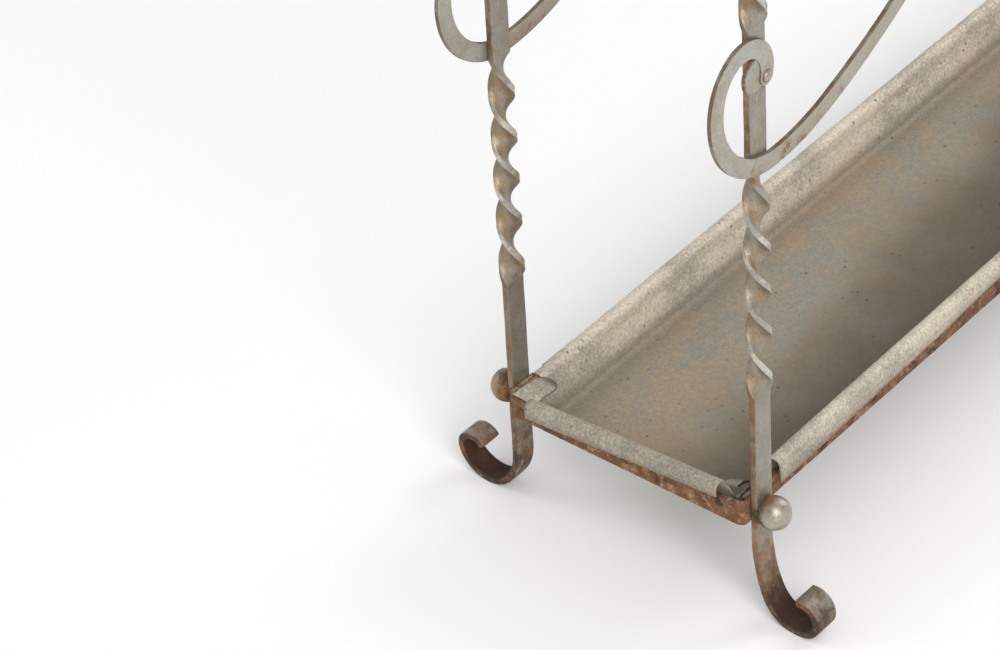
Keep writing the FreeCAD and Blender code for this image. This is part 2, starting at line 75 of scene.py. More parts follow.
# ---- numbers and curves --------------------------------------------------------
def smooth(value: Array, low: float, high: float) -> Array:
    """A step from 0 at low to 1 at high that starts and ends level: 3t^2 - 2t^3.

    Args:
        value: where to read the step.
        low: where it starts to rise, or to fall if low is above high.
        high: where it is complete.

    Returns:
        The step at each value.
    """
    t = np.clip((np.asarray(value, float) - low) / (high - low), 0.0, 1.0)
    return t * t * (3.0 - 2.0 * t)


def bump_at(value: Array, centre: float, reach: float) -> Array:
    """A soft bump, 1 at centre and 0 beyond reach, two smooth steps back to back."""
    return smooth(np.abs(np.asarray(value, float) - centre), reach, 0.0)


def ripple(points: Array, length: float, seed: int) -> Array:
    """Hand-worked unevenness: the mean of six sine waves, each about one length
    long, running in seeded directions with seeded starts.

    Args:
        points: where to read it, with x, y, z last.
        length: the usual wave length in metres.
        seed: picks the directions and the starts.

    Returns:
        The height at each point, within -1 and 1.
    """
    rng = np.random.default_rng(seed)
    ways = rng.normal(size=(6, 3))
    ways /= np.linalg.norm(ways, axis=1, keepdims=True)
    pitch = 2.0 * math.pi / (length * rng.uniform(0.7, 1.6, 6))
    starts = rng.uniform(0.0, 2.0 * math.pi, 6)
    return np.sin(points @ (ways * pitch[:, None]).T + starts).mean(axis=-1)


def bent_line(
    start: Sequence[float], heading: float, steps: Sequence[tuple[float, float]]
) -> tuple[Array, Array, Array]:
    """Bend a line in a plane out of tangent steps. A step is (radius, degrees), a
    positive angle turning left, or (0, length) for a straight. The heading rises
    evenly along each step, and the place is the running sum of its cosine and sine.

    Args:
        start: first point (u, v).
        heading: first direction in degrees.
        steps: the bends and straights in order.

    Returns:
        The distance along the line, its points and its headings in radians.
    """
    lengths = [abs(amount) if radius == 0 else radius * math.radians(abs(amount)) for radius, amount in steps]
    turns = [0.0 if radius == 0 else math.radians(amount) for radius, amount in steps]
    marks = np.concatenate([[0.0], np.cumsum(lengths)])
    headings = math.radians(heading) + np.concatenate([[0.0], np.cumsum(turns)])
    along = np.linspace(0.0, marks[-1], max(64, int(marks[-1] / 0.0001)))
    way = np.interp(along, marks, headings)
    steps_u = np.cos((way[1:] + way[:-1]) / 2.0) * np.diff(along)
    steps_v = np.sin((way[1:] + way[:-1]) / 2.0) * np.diff(along)
    u = start[0] + np.concatenate([[0.0], np.cumsum(steps_u)])
    v = start[1] + np.concatenate([[0.0], np.cumsum(steps_v)])
    return along, np.stack([u, v], axis=1), way


def stations(length: float, spacing: float, end_radius: float) -> Array:
    """Places along a bar: evenly spaced in the body, and crowded within the
    rounding of both ends, where they follow end_radius times (1 - cos).

    Args:
        length: of the bar.
        spacing: between two places in the body.
        end_radius: rounding of the ends.

    Returns:
        The distances from the start, rising from 0 to length.
    """
    lip = end_radius * (1.0 - np.cos(np.linspace(0.0, math.pi / 2.0, 7)))
    body = np.linspace(end_radius, length - end_radius, max(3, int((length - 2 * end_radius) / spacing)))
    return np.concatenate([lip[:-1], body, length - lip[::-1][1:]])


# ---- surfaces ------------------------------------------------------------------
@dataclass(frozen=True)
class Outline:
    """A worn rectangle, point by point: each point is a corner centre (cx, cy),
    as a share of the half sizes less the corner radius, plus the corner radius
    along its own outward direction (nx, ny)."""

    cx: Array
    cy: Array
    nx: Array
    ny: Array

    @staticmethod
    def worn(corner_steps: int, wide_steps: int, thin_steps: int) -> "Outline":
        """Walk round the rectangle leftwards, a quarter turn at each corner and a
        straight run between corners.

        Args:
            corner_steps: divisions of each rounded corner.
            wide_steps: divisions of each wide face.
            thin_steps: divisions of each thin face.

        Returns:
            The outline.
        """
        signs = (
            (1, -1, 1, 1, thin_steps),
            (1, 1, -1, 1, wide_steps),
            (-1, 1, -1, -1, thin_steps),
            (-1, -1, 1, -1, wide_steps),
        )
        cx, cy, angle = [], [], []
        for quarter, (sx, sy, tx, ty, steps) in enumerate(signs):
            begin = -90.0 + 90.0 * quarter
            run = np.arange(1, steps) / steps
            angle += [begin + np.linspace(0.0, 90.0, corner_steps + 1), np.full(steps - 1, begin + 90.0)]
            cx += [np.full(corner_steps + 1, float(sx)), sx + (tx - sx) * run]
            cy += [np.full(corner_steps + 1, float(sy)), sy + (ty - sy) * run]
        turn = np.radians(np.concatenate(angle))
        return Outline(np.concatenate(cx), np.concatenate(cy), np.cos(turn), np.sin(turn))


@dataclass
class Track:
    """The line a bar follows, and the directions of its width and its thickness.
    width cross thickness is the direction of travel."""

    along: Array
    points: Array
    wide: Array
    thin: Array


def sweep(
    track: Track,
    outline: Outline,
    half_wide: Array,
    half_thin: Array,
    radius: Array,
    hollow: Union[Array, float] = 0.0,
) -> tuple[Array, Array, Array]:
    """Carry the outline along the track. A point of the surface is the track point
    plus width times a plus thickness times b, where (a, b) is the outline point at
    that station; the wide faces are hollowed by hollow times (1 - cx^2).

    Args:
        track: the line to follow, m stations.
        outline: the section, n points.
        half_wide: half width at each station.
        half_thin: half thickness at each station.
        radius: corner radius at each station, held to 0.8 of the smaller half size.
        hollow: depth of the hollow of the wide faces at each station.

    Returns:
        The surface (m, n, 3), its outward directions (m, n, 3), and the bar's own
        coordinates (along, a, b) at each point.
    """
    m = len(track.along)
    wide = np.broadcast_to(half_wide, (m,))[:, None]
    thin = np.broadcast_to(half_thin, (m,))[:, None]
    corner = np.minimum(np.broadcast_to(radius, (m,))[:, None], 0.8 * np.minimum(wide, thin))
    dish = np.broadcast_to(hollow, (m,))[:, None]
    a = outline.cx * (wide - corner) + outline.nx * corner
    b = outline.cy * (thin - corner) + outline.ny * corner - outline.ny * dish * (1.0 - outline.cx**2)
    surface = track.points[:, None] + a[..., None] * track.wide[:, None] + b[..., None] * track.thin[:, None]
    across, through = outline.nx[None, :, None], outline.ny[None, :, None]
    outward = across * track.wide[:, None] + through * track.thin[:, None]
    own = np.stack([np.broadcast_to(track.along[:, None], a.shape), a, b], axis=-1)
    return surface, outward, own


def end_rounding(along: Array, radius: float) -> Array:
    """How far a section shrinks near both ends of a bar: a quarter circle, radius
    less the root of (radius^2 - reach^2), reach being the distance inside the lip."""
    near = np.minimum(along, along[-1] - along)
    reach = np.clip(radius - near, 0.0, radius)
    return radius - np.sqrt(np.maximum(radius**2 - reach**2, 0.0))


class Stock:
    """Surfaces gathered until they are made into one piece."""

    def __init__(self) -> None:
        """Start empty."""
        self.points: list[Array] = []
        self.faces: list[list[int]] = []
        self.own: list[Array] = []
        self.marks: dict[str, list[Array]] = {name: [] for name in MARKS}
        self.count = 0

    def grid(
        self,
        surface: Array,
        own: Optional[Array] = None,
        marks: Optional[Mapping[str, Array]] = None,
        wrap: bool = True,
        loop: bool = False,
        caps: bool = True,
        keep: Optional[Array] = None,
    ) -> None:
        """Add a grid of rings. Faces join ring i to ring i + 1.

        Args:
            surface: points (m, n, 3).
            own: the piece's own coordinates (m, n, 3), the place if left out.
            marks: named masks (m, n), 0 if left out.
            wrap: join the last point of each ring to its first.
            loop: join the last ring to the first.
            caps: close both ends with a fan round the ring's middle.
            keep: which faces (m - 1, n - 1) stay, for a grid with gaps.
        """
        m, n = surface.shape[:2]
        ids = self.count + np.arange(m * n).reshape(m, n)
        across = np.concatenate([ids, ids[:, :1]], axis=1) if wrap else ids
        across = np.concatenate([across, across[:1]], axis=0) if loop else across
        quads = np.stack([across[:-1, :-1], across[:-1, 1:], across[1:, 1:], across[1:, :-1]], axis=-1)
        self.faces += (quads.reshape(-1, 4) if keep is None else quads[keep]).tolist()
        own = surface if own is None else own
        spread = {k: np.broadcast_to(v, (m, n)) for k, v in (marks or {}).items()}
        flat = {k: v.ravel() for k, v in spread.items()}
        self._store(surface.reshape(-1, 3), own.reshape(-1, 3), flat)
        if caps and wrap and not loop:
            for ring, flip in ((0, True), (m - 1, False)):
                hub = self.count
                middle = {k: v[ring].mean(keepdims=True) for k, v in spread.items()}
                self._store(surface[ring].mean(0, keepdims=True), own[ring].mean(0, keepdims=True), middle)
                rim = across[ring]
                one, two = (rim[1:], rim[:-1]) if flip else (rim[:-1], rim[1:])
                self.faces += np.stack([np.full(n, hub), one, two], axis=-1).tolist()

    def _store(self, points: Array, own: Array, marks: Mapping[str, Array]) -> None:
        """Keep points with their coordinates and masks."""
        self.points.append(points)
        self.own.append(own)
        for name in MARKS:
            self.marks[name].append(np.asarray(marks.get(name, np.zeros(len(points))), float))
        self.count += len(points)

    def piece(self, name: str, merge: bool = False) -> bpy.types.Object:
        """Make the gathered surfaces one object at the origin.

        Args:
            name: of the piece.
            merge: join points that lie on each other.

        Returns:
            The object.
        """
        mesh = bpy.data.meshes.new(name)
        mesh.from_pydata(np.concatenate(self.points), [], self.faces)
        own = mesh.attributes.new("bar", "FLOAT_VECTOR", "POINT")
        own.data.foreach_set("vector", np.concatenate(self.own).astype(np.float32).ravel())
        for mark, values in self.marks.items():
            layer = mesh.attributes.new(mark, "FLOAT", "POINT")
            layer.data.foreach_set("value", np.concatenate(values).astype(np.float32))
        if merge:
            form = bmesh.new()
            form.from_mesh(mesh)
            bmesh.ops.remove_doubles(form, verts=form.verts, dist=1e-6)
            bmesh.ops.dissolve_degenerate(form, dist=1e-7, edges=form.edges)
            form.to_mesh(mesh)
            form.free()
        mesh.polygons.foreach_set("use_smooth", np.ones(len(mesh.polygons), bool))
        mesh.update()
        thing = bpy.data.objects.new(name, mesh)
        bpy.context.scene.collection.objects.link(thing)
        return thing


def turned(radii: Array, heights: Array, foot: Vector, axis: Vector, count: int = 48) -> tuple[Array, Array]:
    """Turn a profile round an axis: foot plus height along the axis plus radius
    times (cos, sin) of the angle, leftwards.

    Args:
        radii: of the profile points.
        heights: of the profile points along the axis.
        foot: where the axis starts.
        axis: its direction.
        count: points round each ring.

    Returns:
        The surface and its outward directions away from the axis.
    """
    a = np.array(axis.normalized())
    u = np.array(axis.orthogonal().normalized())
    v = np.cross(a, u)
    angle = np.linspace(0.0, 2.0 * math.pi, count, endpoint=False)
    spoke = np.cos(angle)[:, None] * u + np.sin(angle)[:, None] * v
    surface = np.array(foot) + heights[:, None, None] * a + radii[:, None, None] * spoke[None]
    return surface, np.broadcast_to(spoke[None], surface.shape)


# ---- finishes ------------------------------------------------------------------
Number = Union["Wire", float]
Colour = tuple[float, float, float, float]


def paint(red: int, green: int, blue: int) -> Colour:
    """A colour given as it looks, 0 to 255, in the light's own linear numbers."""
    parts = [c / 255.0 for c in (red, green, blue)]
    straight = [c / 12.92 if c <= 0.04045 else ((c + 0.055) / 1.055) ** 2.4 for c in parts]
    return (straight[0], straight[1], straight[2], 1.0)


class Wire:
    """An output of a node that takes part in arithmetic."""

    def __init__(self, bench: "Bench", socket: bpy.types.NodeSocket) -> None:
        """Hold one socket of the bench."""
        self.bench = bench
        self.socket = socket

    def _math(self, operation: str, first: Number, second: Number) -> "Wire":
        """One Math node."""
        return self.bench.node("ShaderNodeMath", {"operation": operation}, {0: first, 1: second})

    def __add__(self, other: Number) -> "Wire":
        """self + other."""
        return self._math("ADD", self, other)

    def __radd__(self, other: Number) -> "Wire":
        """other + self."""
        return self._math("ADD", other, self)

    def __sub__(self, other: Number) -> "Wire":
        """self - other."""
        return self._math("SUBTRACT", self, other)

    def __rsub__(self, other: Number) -> "Wire":
        """other - self."""
        return self._math("SUBTRACT", other, self)

    def __mul__(self, other: Number) -> "Wire":
        """self times other."""
        return self._math("MULTIPLY", self, other)

    def __rmul__(self, other: Number) -> "Wire":
        """other times self."""
        return self._math("MULTIPLY", other, self)

    def limit(self) -> "Wire":
        """Held between 0 and 1."""
        return self.bench.node("ShaderNodeClamp", {}, {"Value": self})


class Bench:
    """The node tree of one finish."""

    def __init__(self, name: str) -> None:
        """Start a material with its surface shader and output.

        Args:
            name: of the material.
        """
        self.material = bpy.data.materials.new(name)
        self.material.use_nodes = True
        self.tree = self.material.node_tree
        self.tree.nodes.clear()
        self.shader = self.tree.nodes.new("ShaderNodeBsdfPrincipled")
        output = self.tree.nodes.new("ShaderNodeOutputMaterial")
        self.tree.links.new(self.shader.outputs["BSDF"], output.inputs["Surface"])

    def node(
        self,
        kind: str,
        settings: Mapping[str, object],
        sockets: Mapping[Union[int, str], object],
        out: Union[int, str] = 0,
    ) -> Wire:
        """Add any node.

        Args:
            kind: its type.
            settings: its properties, set first.
            sockets: values or wires for its inputs.
            out: which output to return.

        Returns:
            The chosen output.
        """
        made = self.tree.nodes.new(kind)
        for key, value in settings.items():
            setattr(made, key, value)
        for key, value in sockets.items():
            self.feed(made.inputs[key], value)
        return Wire(self, made.outputs[out])

    def feed(self, socket: bpy.types.NodeSocket, value: object) -> None:
        """Put a wire or a plain value into an input."""
        if isinstance(value, Wire):
            self.tree.links.new(value.socket, socket)
        else:
            socket.default_value = value

    def place(self) -> Wire:
        """The position on the piece, in metres."""
        return self.node("ShaderNodeTexCoord", {}, {}, "Object")

    def mark(self, name: str) -> Wire:
        """One of the piece's own masks."""
        return self.node("ShaderNodeAttribute", {"attribute_name": name}, {}, "Fac")

    def own(self) -> Wire:
        """The piece's own coordinates: along, across and through."""
        return self.node("ShaderNodeAttribute", {"attribute_name": "bar"}, {}, "Vector")

    def stretch(self, where: Wire, scale: Sequence[float]) -> Wire:
        """Coordinates times a scale for each axis."""
        return self.node("ShaderNodeVectorMath", {"operation": "MULTIPLY"}, {0: where, 1: tuple(scale)})

    def noise(self, where: Wire, scale: float, detail: float = 4.0, rough: float = 0.55) -> Wire:
        """Cloudy noise, about 0.5 on average."""
        sockets = {"Vector": where, "Scale": scale, "Detail": detail, "Roughness": rough}
        return self.node("ShaderNodeTexNoise", {}, sockets)

    def cells(self, where: Wire, scale: float) -> Wire:
        """Distance to the nearest of many scattered points."""
        return self.node("ShaderNodeTexVoronoi", {}, {"Vector": where, "Scale": scale})

    def step(self, value: Wire, low: float, high: float) -> Wire:
        """A smooth step from 0 at low to 1 at high."""
        sockets = {"Value": value, "From Min": low, "From Max": high, "To Min": 0.0, "To Max": 1.0}
        return self.node("ShaderNodeMapRange", {"interpolation_type": "SMOOTHSTEP"}, sockets)

    def blend(self, share: Number, first: object, second: object) -> Wire:
        """Colour first turning into second as share rises."""
        return self.node("ShaderNodeMix", {"data_type": "RGBA"}, {0: share, 6: first, 7: second}, 2)

    def dim(self, colour: Wire, level: Wire) -> Wire:
        """Colour times a level."""
        grey = self.node("ShaderNodeCombineXYZ", {}, {0: level, 1: level, 2: level})
        settings = {"data_type": "RGBA", "blend_type": "MULTIPLY"}
        return self.node("ShaderNodeMix", settings, {0: 1.0, 6: colour, 7: grey}, 2)

    def finish(
        self, colour: Wire, metal: Number, rough: Number, height: Wire, depth: float
    ) -> bpy.types.Material:
        """Feed the surface shader.

        Args:
            colour: base colour.
            metal: metallic share.
            rough: roughness.
            height: relief, 0 to 1.
            depth: of the relief in metres.

        Returns:
            The material.
        """
        self.feed(self.shader.inputs["Base Color"], colour)
        self.feed(self.shader.inputs["Metallic"], metal)
        self.feed(self.shader.inputs["Roughness"], rough)
        relief = {"Strength": 1.0, "Distance": depth, "Height": height}
        bump = self.node("ShaderNodeBump", {}, relief, "Normal")
        self.feed(self.shader.inputs["Normal"], bump)
        return self.material


@dataclass(frozen=True)
class BarSteel:
    """Old forged bar: grey scale with streaks along it, brown narrow faces, gold in
    the hollows of the twist, painted highlights on ridges and edges, painted shade
    inside the foot curls and under the twisted ridges, and rust where water sits."""

    name: str = "forged_bar"
    cool: Colour = paint(150, 147, 140)
    warm: Colour = paint(138, 126, 108)
    brown: Colour = paint(116, 88, 58)
    gold: Colour = paint(150, 120, 78)
    bright: Colour = paint(202, 198, 187)
    rust: Colour = paint(132, 86, 48)
    deep: Colour = paint(50, 31, 18)
    scale: Colour = paint(148, 132, 108)
    metal: float = 0.62
    rough: float = 0.40

    def make(self) -> bpy.types.Material:
        """Lay the coats over each other.

        Returns:
            The material.
        """
        b = Bench(self.name)
        place, own = b.place(), b.own()
        cloud = b.noise(place, 32.0, 5.0)
        fine = b.noise(place, 420.0, 4.0, 0.65)
        streak = b.noise(b.stretch(own, (110.0, 620.0, 620.0)), 1.0, 5.0, 0.65)
        patch = b.noise(place, 85.0, 6.0, 0.68)
        colour = b.blend(b.step(cloud * 0.6 + streak * 0.4, 0.40, 0.62), self.cool, self.warm)
        colour = b.blend(b.step(streak, 0.54, 0.68) * 0.34, colour, self.bright)
        colour = b.blend(b.step(streak, 0.44, 0.32) * 0.30, colour, self.brown)
        hollow = b.mark("valley")
        colour = b.blend((hollow * (0.15 + 1.0 * b.step(patch, 0.42, 0.60))).limit(), colour, self.gold)
        # Painted highlight: the twisted ridges and the corner lines of the bar turn towards the bright
        # colour.
        painted_ridge_highlight = (b.mark("ridge_sheen_and_wear") * (0.15 + 0.7 * b.step(patch, 0.42, 0.60))).limit()
        colour = b.blend(painted_ridge_highlight, colour, self.bright)
        edge = (b.mark("side") * (0.60 + 0.60 * b.step(patch, 0.42, 0.60))).limit()
        colour = b.blend(edge, colour, self.brown)
        mottle = b.noise(place, 190.0, 6.0, 0.75)
        # The rust mask of the posts also carries some painted shade, inside the foot curls and under the
        # twisted ridges.
        old = b.step(b.mark("rust") + (cloud - 0.5) * 0.5, 0.06, 0.50)
        colour = b.blend(old * 0.70, colour, self.scale)
        worn = b.step(b.mark("rust") + (patch - 0.5) * 1.3 + (mottle - 0.5) * 1.3, 0.20, 0.62)
        rust = b.blend(b.step(mottle * 0.55 + cloud * 0.45, 0.45, 0.57), self.deep, self.rust)
        colour = b.blend(worn * 0.92, colour, rust)
        # Painted shade: where the mask of curls and creases is set, the colour darkens to the deep tone and
        # the metal dulls.
        painted_shade = (b.mark("shade_and_grime") * (0.35 + 1.1 * mottle)).limit()
        colour = b.blend(painted_shade * 0.92, colour, self.deep)
        pit = b.step(b.noise(place, 900.0, 2.0, 0.6), 0.40, 0.33) * b.step(patch, 0.40, 0.58)
        colour = b.blend(pit * 0.5, colour, self.deep)
        colour = b.dim(colour, 0.45 + 0.60 * fine + 0.50 * mottle)
        metal = (1.0 - worn * 0.85) * (1.0 - painted_shade) * self.metal
        rough = self.rough + worn * 0.34 + painted_shade * 0.25 + (fine - 0.5) * 0.26
        height = fine * 0.30 + patch * 0.35 + streak * 0.20 + mottle * 0.15
        return b.finish(colour, metal, rough, height, 0.0008)


@dataclass(frozen=True)
class RustBar:
    """Rail stock with brown rust all over, bare in small worn places."""

    name: str = "rusty_rail"
    light: Colour = paint(158, 118, 84)
    mid: Colour = paint(112, 76, 50)
    dark: Colour = paint(62, 38, 24)
    bare: Colour = paint(172, 160, 142)

    def make(self) -> bpy.types.Material:
        """Lay the coats over each other.

        Returns:
            The material.
        """
        b = Bench(self.name)
        place, own = b.place(), b.own()
        cloud = b.noise(place, 60.0, 6.0, 0.65)
        fine = b.noise(place, 500.0, 4.0, 0.7)
        streak = b.noise(b.stretch(own, (18.0, 300.0, 300.0)), 1.0, 5.0, 0.6)
        colour = b.blend(b.step(cloud, 0.36, 0.56), self.dark, self.mid)
        patch = b.noise(place, 150.0, 6.0, 0.72)
        colour = b.blend(b.step(patch + (streak - 0.5) * 0.3, 0.48, 0.64) * 0.8, colour, self.light)
        bare = b.step(patch * 0.45 + fine * 0.35 + streak * 0.2 + b.mark("ridge_sheen_and_wear") * 0.08, 0.555, 0.62)
        colour = b.blend(bare * 0.7, colour, self.bare)
        colour = b.dim(colour, 0.55 + 0.9 * fine)
        return b.finish(colour, bare * 0.4 + 0.1, 0.82 - bare * 0.3, fine * 0.6 + cloud * 0.4, 0.0008)


@dataclass(frozen=True)
class SheetZinc:
    """Old zinc-coated sheet: blue grey and tan clouds, dark specks, pale rolled rims and
    paler walls (partly painted light), painted shade in the creases, notches and folds
    and on the floor by the front wall, and brown lines where it hangs on the rails."""

    name: str = "zinc_sheet"
    blue: Colour = paint(147, 143, 132)
    tan: Colour = paint(165, 146, 122)
    dark: Colour = paint(100, 88, 74)
    pale: Colour = paint(212, 200, 182)
    grey: Colour = paint(166, 159, 146)
    # The colour of the painted shade in creases, notches and folds.
    shade_and_grime: Colour = paint(78, 66, 52)
    speck: Colour = paint(70, 58, 46)
    stain: Colour = paint(128, 88, 56)
    metal: float = 0.25
    rough: float = 0.6

    def make(self) -> bpy.types.Material:
        """Lay the coats over each other.

        Returns:
            The material.
        """
        b = Bench(self.name)
        place = b.place()
        broad = b.noise(place, 9.0, 5.0, 0.6)
        cloud = b.noise(place, 34.0, 6.0, 0.66)
        grain = b.noise(place, 260.0, 5.0, 0.7)
        fleck = b.noise(place, 120.0, 5.0, 0.75)
        sand = b.noise(place, 560.0, 4.0, 0.85)
        colour = b.blend(b.step(broad * 0.35 + cloud * 0.25 + grain * 0.4, 0.42, 0.58), self.blue, self.tan)
        # Painted shade: the floor darkens towards the front and the right, where the front wall shades it.
        shade_cloud = b.noise(place, 7.0, 4.0, 0.55)
        floor_shade_level = b.mark("damp") + (shade_cloud - 0.5) * 1.0 + (cloud - 0.5) * 0.4 + (sand - 0.5) * 0.6
        colour = b.blend(b.step(floor_shade_level, 0.16, 0.98) * 0.95, colour, self.dark)
        rim = b.mark("rim")
        zone = b.noise(place, 15.0, 5.0, 0.62)
        skin = b.blend(b.step(zone * 0.45 + cloud * 0.25 + sand * 0.3, 0.40, 0.56), self.grey, self.pale)
        # The rims are darker at both ends and, as painted shade, on the lower part of the front roll and its
        # hem; on the corner folds this follows their painted shade.
        skin = b.blend(b.mark("side") * (0.10 + 0.7 * sand), skin, self.dark)
        # The pale rim colour covers the rolled rims and the walls down to the crease; on the walls it partly
        # stands in for the light they catch, painted light.
        colour = b.blend(rim, colour, skin)
        # Painted shade: darker in the crease at the foot of the walls, on the hem under the roll, in the
        # front notches and in the corner folds, and in a band by the left end.
        colour = b.blend((b.mark("shade_and_grime") * (0.35 + 0.9 * cloud)).limit(), colour, self.shade_and_grime)
        dots = b.step(b.cells(place, 130.0), 0.20, 0.06) * b.step(b.noise(place, 60.0, 2.0), 0.46, 0.62)
        colour = b.blend(dots * 0.75, colour, self.speck)
        stain = (b.mark("rust") * b.step(cloud + (grain - 0.5) * 0.4, 0.36, 0.58)).limit()
        colour = b.blend(stain, colour, self.stain)
        grit = b.step(sand, 0.34, 0.66) - 0.5
        contrast = 0.26 + 0.10 * rim + 0.24 * b.mark("side")
        colour = b.dim(colour, 0.75 + 0.40 * grain + 0.10 * fleck + grit * contrast)
        rough = self.rough + (grain - 0.5) * 0.25 + stain * 0.15
        height = grain * 0.4 + sand * 0.3 + cloud * 0.3
        return b.finish(colour, (1.0 - stain) * self.metal, rough, height, 0.0009)


@dataclass(frozen=True)
class Finishes:
    """The materials of the stand by the slot they belong to."""

    post: bpy.types.Material
    scroll: bpy.types.Material
    rail: bpy.types.Material
    ball: bpy.types.Material
    rivet: bpy.types.Material
    sheet: bpy.types.Material

    @staticmethod
    def make() -> "Finishes":
        """Mix every finish once."""
        scroll = BarSteel(
            "scroll_steel",
            cool=paint(166, 163, 153),
            warm=paint(156, 148, 132),
            brown=paint(104, 88, 68),
            metal=0.55,
            rough=0.42,
        )
        ball = BarSteel(
            "ball_steel",
            cool=paint(184, 181, 173),
            warm=paint(160, 148, 130),
            brown=paint(124, 94, 66),
            metal=0.75,
            rough=0.42,
        )
        rivet = BarSteel(
            "bright_rivet",
            cool=paint(172, 172, 168),
            warm=paint(150, 146, 136),
            brown=paint(96, 78, 60),
            metal=0.8,
            rough=0.28,
        )
        return Finishes(
            post=BarSteel().make(),
            scroll=scroll.make(),
            rail=RustBar().make(),
            ball=ball.make(),
            rivet=rivet.make(),
            sheet=SheetZinc().make(),
        )


def dress(
    thing: bpy.types.Object, material: bpy.types.Material, body: str, slot: str, *nodes: str
) -> bpy.types.Object:
    """Finish a piece: give it its material and its body, hide the solids it stands
    for, and report it.

    Args:
        thing: the piece.
        material: its finish.
        body: the body it moves with.
        slot: the material slot of the record; not used.
        nodes: the CAD solids it stands for.

    Returns:
        The piece.
    """
    thing.data.materials.append(material)
    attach(thing, body)
    if nodes:
        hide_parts(*nodes)
    log.info("%s: %d faces", thing.name, len(thing.data.polygons))
    return thing


# ---- layout --------------------------------------------------------------------
@dataclass(frozen=True)
class Layout:
    """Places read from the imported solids."""

    post_x: float
    face_y: Mapping[Side, float]
    ball_z: float
    top_ball_z: float

    @staticmethod
    def read() -> "Layout":
        """Read the posts' places from their own boxes and the scrolls' backs.

        Returns:
            The layout.
        """
        low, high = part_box("post_front_right")
        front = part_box("scroll_front_left")[1].y
        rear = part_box("scroll_rear_left")[0].y
        lower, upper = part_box("lower_ball_rivets"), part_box("upper_ball_rivets")
        faces = {Side.FRONT: front, Side.REAR: rear}
        ball_z = (lower[0].z + lower[1].z) / 2.0
        top_ball_z = (upper[0].z + upper[1].z) / 2.0
        return Layout((low.x + high.x) / 2.0, faces, ball_z, top_ball_z)


CORNERS = tuple((side, end) for side in Side for end in End)


def corner_name(side: Side, end: End) -> str:
    """Name of a corner, such as front_left."""
    return f"{side.name.lower()}_{end.name.lower()}"


def rail_faces(side: Side) -> tuple[float, float]:
    """Outer and inner face of a long top rail, along Y."""
    low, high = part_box(f"top_rail_{side.name.lower()}")
    return (low.y, high.y) if side is Side.FRONT else (high.y, low.y)


